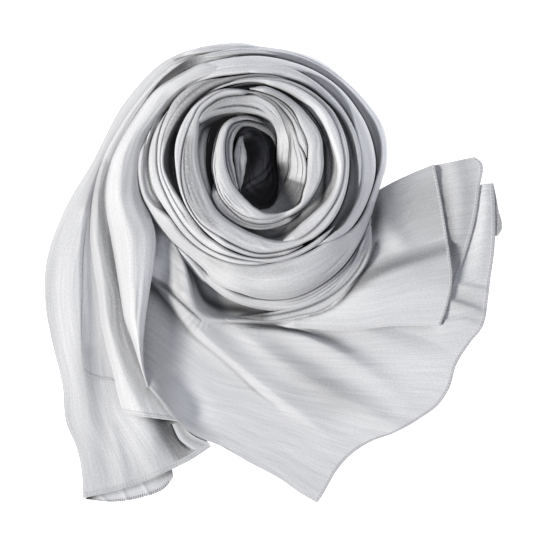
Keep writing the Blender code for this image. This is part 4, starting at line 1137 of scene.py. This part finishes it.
# Ridges and shades: a sharpness and a line, as for ridge(); the shades are painted shade, and painted light
# where a row's height is negative
TAIL_RIDGES = (
    (1.9, (
        (205, 52, 13, 12, 8), (175, 64, 14, 12, 9), (150, 86, 14, 12, 10), (128, 113, 14, 10, 12),
        (108, 146, 13, 8, 14), (93, 180, 12, 7, 16), (83, 215, 11, 7, 19), (79, 250, 11, 7, 22),
        (79, 290, 11, 7, 22), (80, 330, 10, 8, 20), (82, 360, 8, 9, 19), (86, 400, 5, 12, 16),
        (92, 440, 3, 14, 14), (98, 480, 1, 14, 12),
    )),
    (1.8, (
        (140, 412, 11, 14, 26), (148, 426, 12, 16, 28), (152, 444, 9, 16, 26), (156, 460, 5, 14, 20),
        (160, 472, 2, 10, 12),
    )),
    (1.7, ((112, 430, 1.5, 6, 8), (120, 455, 2.5, 6, 8), (126, 480, 1.5, 6, 8))),
)
INNER_LAYER_NEAR = ((172, 423.8), (180, 440), (193, 449.6))
INNER_LAYER_FAR = ((178, 423), (194, 436), (211, 443.6))
TURNED_UPPER = ((86, 497.4), (130, 485.6), (165, 472), (172, 468.8))
TURNED_LOWER = ((86, 499.2), (113, 502), (140, 498), (165, 488), (173.5, 477))
TURNED_RIDGES = (
    (1.6, ((100, 495, 0.8, 2), (107, 501, 0.8, 2))),
    (1.6, ((122, 489, 0.8, 2, 3), (128, 501, 0.8, 2, 3))),
    (1.6, ((143, 484, 0.8, 2), (150, 496, 0.8, 2))),
)
TURNED_SHADES = (
    (1.8, (
        (88, 497.6, 0.6, 2, 2), (110, 492.4, 0.4, 2, 3), (135, 486, 0.4, 2, 3), (160, 477, 0.5, 3, 4),
        (172, 470, 0.8, 4, 6),
    )),
    (1.8, ((86, 498, 0.5, 4), (94, 499, 0.1, 4))),
    (2, ((100, 498, -0.06, 12), (150, 488, -0.12, 12))),
    (1.6, ((86, 499, 0.35, 5), (93, 500, 0.3, 5))),
)
UNDER_HEM_LEFT = ((88, 215), (84, 250), (83, 290), (82, 325), (83, 350), (84, 372))
UNDER_HEM_RIGHT = ((96, 215), (99, 250), (103, 290), (108, 325), (113, 350), (118, 384))
UNDER_HEM_END = ((84, 372), (92, 377), (100, 379.6), (110, 381), (118, 384))

# Rolls: right edge, left edge, heights of crest, right edge and left edge, the crest's share of the way
MIDDLE_ROWS = (
    (221, 57, 220, 49, 21, 18, 16, 0.5), (200, 61, 194, 55, 22, 18, 15, 0.5),
    (186, 66, 176, 63, 22, 18, 15, 0.5), (172, 75, 161, 74.5, 22, 18, 14, 0.5),
    (158, 89, 147, 88.5, 22, 17, 12, 0.5), (146, 106, 133.5, 103.5, 21, 15, 10, 0.55),
    (134, 130, 119, 123, 20, 12, 8, 0.6), (124, 150, 104, 150, 19, 9, 6, 0.65),
    (118, 172, 96, 172, 18, 8, 6, 0.66), (115, 192, 92, 192, 18, 7, 6, 0.66),
    (115, 215, 90, 215, 18, 7, 6, 0.68), (118, 240, 90, 240, 18, 7, 6, 0.7),
    (123, 265, 93.6, 265, 18, 7, 6, 0.7), (129, 295, 98.4, 295, 17, 8, 6, 0.72),
    (136, 325, 101.5, 325, 17, 9, 5, 0.75), (145, 352, 107, 350, 17, 11, 5, 0.75),
    (155, 376, 113, 374, 18, 14, 4, 0.7), (168, 400, 116.5, 396, 20, 18, 3.5, 0.6),
    (181, 421, 118.5, 413, 21, 20, 3.5, 0.5),
)
LOOP_ROWS = (
    (240, 69, 236, 56, 38, 37, 31, 0.4), (224, 74.5, 218, 62, 48, 47, 40, 0.4),
    (210.3, 78.4, 202.6, 63.8, 50, 48, 41, 0.4), (196.3, 83.1, 187.2, 70.5, 49, 47, 37, 0.4),
    (183.7, 91, 171.9, 78.8, 46.5, 43, 33, 0.4), (176, 99, 160, 86.5, 43, 38, 29, 0.4),
    (164, 113.3, 144.5, 103, 42, 36, 24, 0.4), (156, 123.2, 132, 120, 41, 34, 19, 0.4),
    (149, 133, 121, 137, 40, 33, 15, 0.45), (143, 150, 111.5, 155, 39, 32, 12, 0.5),
    (140, 170, 106.5, 170, 38, 31, 11, 0.5), (142, 196, 102.8, 192, 39, 31, 10, 0.48),
    (151, 216, 103.2, 212, 40, 33, 9, 0.46), (156, 236, 107.8, 235, 42, 35, 9, 0.44),
    (154.5, 260, 112.3, 258, 42, 35, 9, 0.42), (150, 290, 117.3, 288, 41, 35, 9, 0.4),
    (145.6, 320, 122.8, 318, 40, 34, 10, 0.38), (143.5, 345, 132.5, 343, 38, 33, 14, 0.36),
    (144.5, 368, 140.3, 366, 34, 31, 20, 0.4), (149, 387, 147.4, 387, 28, 27, 22, 0.4),
)

FAN_NECK = ((146, 206), (147, 232), (147, 256), (142, 295), (138.5, 329), (140, 359), (147, 385))
FAN_LOWER = (
    (147, 385), (160, 401), (173, 416.5), (195, 435), (218, 445), (250, 463), (280, 479), (300, 493),
    (317, 503),
)
FAN_UPPER = (
    (146, 206), (165, 215), (185, 232), (203, 250), (217, 268), (234, 280), (262, 286), (296, 285),
    (332, 277), (366, 262), (398, 244), (428, 225), (453, 207), (472, 192), (481, 184.6), (493, 183),
)
FAN_HEM = (
    (493, 183), (495, 215), (494, 251), (490, 280), (488, 297), (481, 329), (472, 340), (456, 365),
    (449, 388), (437, 406), (422, 417), (394, 433), (370, 442), (349, 456), (336, 471), (324, 492),
    (317, 503),
)
FAN_RIDGES = (
    (2, (
        (146, 270, 14, 14, 30), (146, 300, 16, 16, 30), (145, 330, 17, 20, 30), (146, 360, 19, 22, 30),
        (150, 385, 22, 20, 30), (160, 401, 24, 16, 30), (172, 416, 22, 14, 30), (183, 427, 13, 13, 30),
        (200, 439, 5, 12, 30), (218, 446, 1, 8, 30),
    )),
    (2.2, (
        (172, 240, 18, 3, 18), (179, 254, 22, 3, 20), (184, 266, 24, 3, 21), (188, 282, 24, 3, 21),
        (192, 298, 22, 3, 19), (197, 309, 18, 3, 16), (206, 316, 13, 4, 9), (222, 320, 9, 4, 4),
        (245, 321, 8, 4, 3), (280, 320, 8, 5, 3), (310, 315, 8, 6, 4),
    )),
    (1.5, (
        (151, 278, -3, 2), (165, 286, -4, 2), (176, 296, -4, 2), (190, 309, -3.5, 2), (202, 320, -1.5, 2),
    )),
    (1.5, (
        (151, 282, -2, 2), (160, 293, -3, 2), (170, 306, -3, 2), (180, 320, -2, 2), (190, 332, -1.2, 2),
        (200, 341, -0.8, 2), (215, 353, -0.6, 2), (232, 369, -0.8, 2), (250, 385, -0.8, 2),
        (265, 398, -0.6, 2), (280, 409, -0.3, 2),
    )),
    (1.7, (
        (160, 285, 3, 10, 6), (174, 300, 6, 12, 6), (188, 317, 8, 13, 7), (203, 333, 8, 14, 8),
        (222, 350, 7, 15, 8), (247, 371, 6, 16, 7), (272, 391, 5, 16, 7), (300, 412, 3, 14, 8),
        (330, 436, 1, 12, 8),
    )),
    (1.4, (
        (222, 322.6, -0.5, 1, 2), (245, 323.4, -3, 1, 2.5), (265, 325, -4.5, 1, 3), (285, 327.6, -4, 1, 3),
        (300, 330, -3, 1, 3), (322, 337, -1, 1, 3),
    )),
    (1.7, (
        (238, 328, 3, 14, 10), (262, 347, 6, 15, 12), (292, 367, 6, 16, 12), (330, 390, 5, 16, 12),
        (370, 410, 4, 14, 12), (398, 426, 2, 12, 10),
    )),
    (1.9, (
        (262, 329, 2, 5, 10), (285, 332, 6, 4, 12), (303, 336, 9, 5, 14), (322, 344, 10, 6, 15),
        (340, 353, 9, 8, 15), (358, 364, 6, 10, 15), (382, 382, 3, 12, 14), (405, 402, 1, 12, 12),
    )),
    (1.8, (
        (365, 330, 3.4, 10, 20), (400, 345, 3, 12, 22), (435, 355, 1.4, 12, 20), (462, 352, 0.8, 8, 14),
    )),
    (1.6, ((396, 331, -0.4, 4), (415, 335, -0.6, 4), (440, 345, -0.4, 4), (452, 352, -0.2, 4))),
    (1.8, ((446, 300, 3.5, 3, 14), (460, 304, 4, 3, 13), (475, 309, 3.2, 3, 12), (486, 314, 1, 3, 8))),
    (1.8, ((446, 322, 2.5, 3, 10), (462, 320, 2.5, 3, 9), (480, 324, 1.2, 3, 8))),
    (1.8, ((455, 284, 1.8, 3, 9), (470, 287, 2.2, 3, 9), (487, 291, 1.6, 3, 9))),
    (2, ((487, 186, 2, 6), (486, 215, 3, 8), (482, 245, 2.5, 9), (478, 270, 1, 8))),
)
FAN_SHADES = (
    (2, (
        (250, 420, -0.06, 50), (330, 430, -0.1, 50), (400, 385, -0.16, 50), (450, 350, -0.12, 35),
        (474, 320, 0, 20),
    )),
    (2, ((462, 298, 0.12, 10, 12), (474, 303, 0.1, 12, 14), (484, 306, 0.08, 12, 12))),
    (2, ((476, 200, -0.12, 14), (478, 235, -0.12, 14), (474, 270, -0.06, 14))),
    (2, ((190, 392, -0.3, 12, 14), (198, 406, -0.25, 12, 14), (210, 420, -0.1, 12, 12))),
    (2, ((330, 400, 0.12, 20), (300, 385, 0.1, 16))),
    (2, (
        (275, 345, 0.12, 10, 12), (310, 372, 0.22, 12, 14), (345, 396, 0.24, 12, 14),
        (380, 415, 0.12, 12, 12),
    )),
    (2, (
        (158, 225, -0.6, 8, 12), (160, 245, -0.6, 7, 12), (161, 262, -0.5, 7, 10), (158, 278, -0.3, 6, 6),
    )),
    (2, ((170, 232, 0.2, 5), (173, 250, 0.3, 5), (177, 270, 0.3, 5), (181, 290, 0.2, 4))),
    (2, (
        (190, 262, 0.6, 4, 1.5), (197, 284, 0.8, 5, 2), (206, 300, 0.92, 9, 4), (220, 307, 0.93, 10, 7),
        (240, 310, 0.93, 9, 7), (260, 312, 0.8, 8, 7), (270, 313, 0.6, 7, 4), (277, 314, 0, 4, 3),
    )),
    (1.5, (
        (151, 280, 0.5, 3, 3), (166, 288, 0.55, 3, 4), (178, 299, 0.5, 3, 4), (192, 311, 0.4, 3, 4),
        (203, 320, 0.15, 3, 3),
    )),
    (1.5, (
        (151, 284, 0.7, 2, 10), (162, 297, 0.65, 2, 9), (173, 311, 0.55, 2, 7), (184, 325, 0.45, 1.6, 5),
        (198, 340, 0.3, 1.4, 3), (215, 354, 0.25, 1.3, 2), (236, 372, 0.3, 1.3, 1.6),
        (256, 391, 0.25, 1.3, 1.6), (275, 405, 0.15, 1.3, 1.6),
    )),
    (1.5, (
        (224, 322.6, 0.3, 1.2, 2), (245, 323.6, 0.75, 1.2, 2.5), (262, 325, 0.9, 3, 3.4),
        (278, 326.6, 0.9, 3.4, 3), (285, 328, 0.85, 1.4, 3.2), (300, 331, 0.75, 2, 2.6),
        (318, 336, 0.5, 3, 2.5), (335, 342, 0.35, 5, 3), (350, 350, 0.15, 6, 3),
    )),
    (1.8, (
        (148, 290, 0.35, 16, 6), (146, 330, 0.35, 26, 6), (150, 370, 0.3, 24, 6), (165, 400, 0.15, 14, 6),
    )),
)
PANEL_SHADES = (
    (1.6, (
        (262, 319, 0.9, 5, 6), (276, 322, 0.9, 5, 5), (281, 324, 0.5, 2, 2), (286, 323, 0.3, 1.2, 1.2),
        (300, 317.6, 0.6, 1.4, 1.6), (320, 313.4, 0.6, 1.4, 1.6), (338, 303.6, 0.6, 1.6, 2.4),
        (354, 284.6, 0.6, 1.6, 2.4), (368, 264, 0.6, 1.6, 3), (376, 244, 0.6, 2, 4),
    )),
    (2, (
        (338, 300, 0.2, 6, 3), (358, 287, 0.4, 8, 4), (376, 274, 0.48, 9, 5), (396, 265, 0.5, 8, 5),
        (420, 258, 0.45, 8, 5), (446, 250, 0.4, 7, 5),
    )),
    (2, (
        (345, 262, -0.1, 6, 8), (362, 250, -0.15, 7, 9), (385, 240, -0.12, 8, 8), (405, 234, -0.05, 8, 8),
    )),
    (2, (
        (318, 320, -0.08, 8, 10), (350, 310, -0.12, 12, 18), (390, 300, -0.16, 16, 26),
        (430, 292, -0.16, 16, 30),
    )),
    (2, ((372, 215, 0.35, 32, 26), (405, 205, 0.32, 34, 34), (440, 200, 0.25, 34, 36))),
    (1.8, (
        (378, 190, 0.4, 8), (376, 215, 0.5, 8), (368, 240, 0.45, 9), (352, 268, 0.4, 9), (330, 286, 0.2, 6),
    )),
)
BACK_SHADES = (
    (2, ((462, 165, 0.12, 14), (466, 200, 0.14, 14), (460, 240, 0.14, 12))),
    (1.6, (
        (436, 172, 0.3, 6, 8), (443, 200, 0.5, 7, 8), (448, 225, 0.5, 6, 8), (453, 247, 0.4, 5, 8),
        (456, 262, 0.3, 5, 8),
    )),
)
INNER_SHADES = (
    (1.6, ((174, 425, -0.2, 1.3), (183, 440.4, -0.25, 1.3), (195, 449, -0.2, 1.3))),
    (1.6, ((179, 425, 0.4, 2, 5), (188, 437, 0.4, 2, 5), (203, 445, 0.35, 2, 4))),
)
MIDDLE_SHADES = (
    (2, (
        (207, 61, 0.4, 1), (194, 64.6, 0.75, 2), (184, 69, 0.8, 2.4), (173, 76, 0.75, 2.4),
        (162, 85, 0.6, 2.2), (152, 94.6, 0.4, 2), (146, 102, 0.2, 2),
    )),
    (1.8, (
        (107, 165, 0.3, 3, 6), (103, 192, 0.45, 3, 8), (104, 215, 0.5, 3, 8), (109, 240, 0.5, 3, 9),
        (113, 262, 0.5, 3, 9), (118, 290, 0.45, 3, 10), (123, 320, 0.4, 3, 11), (133, 345, 0.35, 3, 12),
        (141, 368, 0.3, 3, 12), (148, 388, 0.2, 4, 10),
    )),
)
LOOP_SHADES = (
    (2, ((141, 176, 0.25, 2), (144, 200, 0.35, 2.5), (149, 217, 0.3, 2))),
    (2, (
        (147, 225, -0.12, 6, 8), (149, 250, -0.28, 7, 9), (145, 290, -0.28, 7, 8), (141, 330, -0.2, 6, 6),
    )),
)
TAIL_SHADES = (
    (2, ((86, 215, -0.3, 7), (86, 260, -0.45, 7), (86, 300, -0.45, 7), (88, 340, -0.3, 7))),
    (4, (
        (163, 418, 0.62, 11, 9), (168, 432, 0.66, 11, 10), (176, 446, 0.6, 11, 10), (186, 462, 0.45, 9, 9),
    )),
    (1.6, ((150, 415, 0.3, 16, 3), (165, 420, 0.3, 14, 3))),
    (1.6, ((172, 425, 0.4, 1.4), (180, 441, 0.45, 1.4), (193, 451, 0.4, 1.4), (206, 449, 0.3, 1.4))),
)
TOP_PANEL_UPPER = ((370, 196), (384, 187), (408, 175), (434, 164))
TOP_PANEL_HEM = ((434, 164), (442, 206), (449, 251), (452, 279), (447, 306), (440, 326))
TOP_PANEL_COIL = ((370, 196), (364, 225), (355, 250), (345, 270), (325, 288), (300, 301), (264, 312))
TOP_PANEL_LOWER = ((264, 312), (270, 322), (284, 326.4), (315, 329), (340, 331), (395, 326), (440, 326))
TOP_PANEL_RIDGES = (
    (2.2, (
        (300, 314, 2, 5, 16), (320, 311, 5, 6, 20), (342, 300, 11, 8, 28), (362, 288, 16, 10, 34),
        (385, 276, 17, 11, 36), (410, 267, 14, 11, 36), (430, 259, 10, 10, 34), (449, 251, 7, 8, 30),
    )),
    (1.6, ((330, 306, -0.8, 3), (350, 296, -1.2, 3), (380, 285, -0.8, 3), (410, 280, -0.3, 3))),
    (2, ((376, 200, 4, 10), (385, 225, 5, 12), (400, 240, 3, 10))),
    (1.8, ((384, 190, 1.5, 6, 8), (410, 182, 2.5, 6, 10), (436, 172, 2.5, 6, 10))),
)
BACK_PANEL_HEM = (
    (474, 157), (480, 161), (479, 190), (476, 214), (469, 242), (463, 260), (455, 281), (450, 295),
)
BACK_PANEL_COVERED = ((431, 166), (436, 185), (440, 213), (443, 243), (445, 265), (445, 284), (444, 295))
BACK_PANEL_RIDGES = ((2, ((455, 160, 1.5, 9), (461, 190, 2.5, 10), (461, 220, 2.5, 9), (457, 250, 1, 6))),)
CORNER_OUTER = ((493.6, 184), (498, 207), (501, 231), (497.5, 236))
CORNER_INNER = ((492.5, 187), (493.4, 209), (493.6, 225), (494.4, 235.6))


# Painted share of the light on the hems, and on the turned corner, which is painted darker as shade
HEM_PAINTED_LIGHT, CORNER_PAINTED_LIGHT = 0.97, 0.6
# Widths of the turned hems, in metres
TAIL_HEM_WIDTH, UNDER_HEM_WIDTH, MIDDLE_HEM_WIDTH = 0.005, 0.004, 0.005
FAN_HEM_WIDTH, TOP_PANEL_HEM_WIDTH, BACK_PANEL_HEM_WIDTH = 0.0035, 0.0026, 0.0034
# Heights at which the spread sheets lie, before their ridges, and of the inner layer from end to end
TAIL_BASE, UNDER_HEM_BASE, TURNED_BASE, CORNER_BASE, FAN_BASE, BACK_PANEL_BASE = 1.2, 2.4, 0.9, 0.8, 1.2, 3.6
INNER_LAYER_BASE = (14, 3.5)
# The top panel's base height at its tip beside the coil, and its climb from there over so much of the way
TOP_PANEL_TIP_BASE, TOP_PANEL_CLIMB, TOP_PANEL_CLIMB_REACH = 0.4, 5.6, 30


def spread(name, points, node, hem=0.0, extras=(), shades=()):
    """A sheet with its material, its colour given painted light and shade from its shades and, where it ends
    in a hem so many metres wide, the hem and its stitches.
    """
    painted_light = shaded(layout_of(points), shades) if shades else 1.0
    sheet = dress(cloth(name, points, painted_light=painted_light), node)
    extras = list(extras)
    if hem:
        band = cloth(name + "_hem", hem_of(points, hem), painted_light=HEM_PAINTED_LIGHT)
        sewing = stitches_of(name + "_stitches", points, hem)
        extras += [dress(band, node), dress(sewing, node, THREAD)]


def left_end_layers():
    """The tail: its bottom layer, the piece whose hem shows under the next layer, and that middle layer."""
    start = (TAIL_OUTER_EDGE[0], TAIL_INNER_EDGE[0])
    plan = patch(start, TAIL_HEM, TAIL_OUTER_EDGE, TAIL_INNER_EDGE, rows=330, cols=130)
    bottom = lie(plan, TAIL_BASE, TAIL_RIDGES, seed=11)
    spread("left_end_bottom_satin", bottom, "left_end_bottom_layer",
           hem=TAIL_HEM_WIDTH, shades=TAIL_SHADES)
    start = (UNDER_HEM_LEFT[0], UNDER_HEM_RIGHT[0])
    plan = patch(start, UNDER_HEM_END, UNDER_HEM_LEFT, UNDER_HEM_RIGHT, rows=180, cols=50)
    under = lie(plan, UNDER_HEM_BASE, TAIL_RIDGES, seed=19)
    spread("left_end_under_hem_satin", under, "left_end_bottom_layer",
           hem=UNDER_HEM_WIDTH, shades=TAIL_SHADES)
    middle = roll(MIDDLE_ROWS, count=330, cells=64, seed=12, foot_right=2.0, foot_left=2.0, lip=2.0)
    spread("left_end_middle_satin", middle, "left_end_middle_layer",
           hem=MIDDLE_HEM_WIDTH, shades=MIDDLE_SHADES)


def left_end_small_pieces():
    """The inner layer that slopes down beside the middle one, and the turned piece of hem with threads."""
    plan = strip(INNER_LAYER_NEAR, INNER_LAYER_FAR, rows=50, cols=24)
    slope_down = np.linspace(*INNER_LAYER_BASE, len(plan))[:, None]
    inner = lie(plan, slope_down, (), seed=13, heights=INNER_WAVES)
    spread("left_end_inner_satin", inner, "left_end_inner_layer",
           shades=INNER_SHADES)
    plan = strip(TURNED_UPPER, TURNED_LOWER, rows=120, cols=30)
    turned = lie(plan, TURNED_BASE, TURNED_RIDGES, seed=14, heights=TURNED_WAVES)
    overlock = overlock_of("left_end_turned_overlock", turned, columns=7)
    dress(overlock, "left_end_turned_hem", THREAD)
    spread("left_end_turned_satin", turned, "left_end_turned_hem",
           extras=[overlock], shades=TURNED_SHADES)


def right_end():
    """The fan with its turned corner, the panel that lies on it beside the coil and the panel behind that."""
    plan = strip(CORNER_INNER, CORNER_OUTER, rows=50, cols=10)
    corner = lie(plan, CORNER_BASE, (), seed=18, heights=CORNER_WAVES)
    turned_corner = cloth("right_end_corner_satin", corner, painted_light=CORNER_PAINTED_LIGHT)
    dress(turned_corner, "right_end_turned_corner")
    plan = patch(FAN_NECK, FAN_HEM, FAN_UPPER, FAN_LOWER, rows=320, cols=260, lean=1.6)
    fan = lie(plan, FAN_BASE, FAN_RIDGES, seed=15)
    spread("right_end_fan_satin", fan, "right_end_fan",
           hem=FAN_HEM_WIDTH, extras=[turned_corner], shades=FAN_SHADES)
    plan = patch(TOP_PANEL_COIL, TOP_PANEL_HEM, TOP_PANEL_UPPER, TOP_PANEL_LOWER, rows=220, cols=180)
    from_tip = plan[..., 0] - TOP_PANEL_LOWER[0][0]
    base = TOP_PANEL_TIP_BASE + TOP_PANEL_CLIMB * np.clip(from_tip / TOP_PANEL_CLIMB_REACH, 0, 1)
    top = lie(plan, base, TOP_PANEL_RIDGES, seed=16)
    spread("right_end_top_satin", top, "right_end_top_panel",
           hem=TOP_PANEL_HEM_WIDTH, shades=PANEL_SHADES)
    plan = strip(BACK_PANEL_COVERED, BACK_PANEL_HEM, rows=150, cols=60).transpose(1, 0, 2)
    back = lie(plan, BACK_PANEL_BASE, BACK_PANEL_RIDGES, seed=17)
    spread("right_end_back_satin", back, "right_end_back_panel",
           hem=BACK_PANEL_HEM_WIDTH, shades=BACK_SHADES)


def left_end_loop():
    """The broad fold that comes over the coil and hangs down on top of the left end."""
    loop = roll(LOOP_ROWS, count=330, cells=64, seed=31, foot_right=7.0, foot_left=5.0)
    spread("left_end_loop_satin", loop, "left_end_loop", shades=LOOP_SHADES)


left_end_layers()
left_end_small_pieces()
right_end()
left_end_loop()


# Table, light and camera, in metres

TABLE_REACH, TABLE_TOP = 6.0, -0.0005
LENS, SENSOR, FRAME_WIDTH = 800.0, 36.0, 0.551  # the frame's width is on the table
FRAME_MIDDLE = (0.0025, -0.0025)  # where it lies in the part's own frame


def pale_table():
    """A wide flat table just under the scarf."""
    corners = ((-1, -1), (1, -1), (1, 1), (-1, 1))
    mesh = bpy.data.meshes.new("table_top")
    mesh.from_pydata([(x * TABLE_REACH, y * TABLE_REACH, TABLE_TOP) for x, y in corners], [], [(0, 1, 2, 3)])
    mesh.materials.append(plain("Pale table", (0.9, 0.9, 0.9), roughness=0.9, glow=0.85))
    return in_scene("table_top", mesh)


def far_light(name, energy, colour, width, azimuth, elevation):
    """A light as far away as the sun, its width, azimuth and elevation in degrees."""
    sun = bpy.data.lights.new(name, "SUN")
    sun.energy = energy
    sun.color = colour
    sun.angle = np.radians(width)
    turn, climb = np.radians(azimuth), np.radians(elevation)
    towards = Vector((np.cos(turn) * np.cos(climb), np.sin(turn) * np.cos(climb), np.sin(climb)))
    light = in_scene(name, sun)
    light.rotation_mode = "QUATERNION"
    light.rotation_quaternion = towards.to_track_quat("Z", "Y")


def soft_studio():
    """Even pale light from all round."""
    world = bpy.data.worlds.new("Soft studio")
    world.use_nodes = True
    background = world.node_tree.nodes["Background"]
    background.inputs["Color"].default_value = (0.93, 0.96, 1.1, 1.0)
    background.inputs["Strength"].default_value = 0.34
    return world


def viewer():
    """A camera that looks straight down from far away."""
    camera = bpy.data.cameras.new("Camera")
    camera.lens = LENS
    camera.sensor_width = SENSOR
    camera.clip_end = 100.0
    seen_from = in_scene("Camera", camera)
    seen_from.location = (*FRAME_MIDDLE, FRAME_WIDTH * LENS / SENSOR)
    return seen_from


pale_table()
far_light("Key light", energy=3.55, colour=(1.0, 0.99, 0.95), width=15, azimuth=200, elevation=37)
far_light("Fill light", energy=0.75, colour=(0.95, 0.97, 1.0), width=50, azimuth=20, elevation=32)
bpy.context.scene.world = soft_studio()
bpy.context.scene.view_settings.view_transform = "Standard"
bpy.context.scene.camera = viewer()
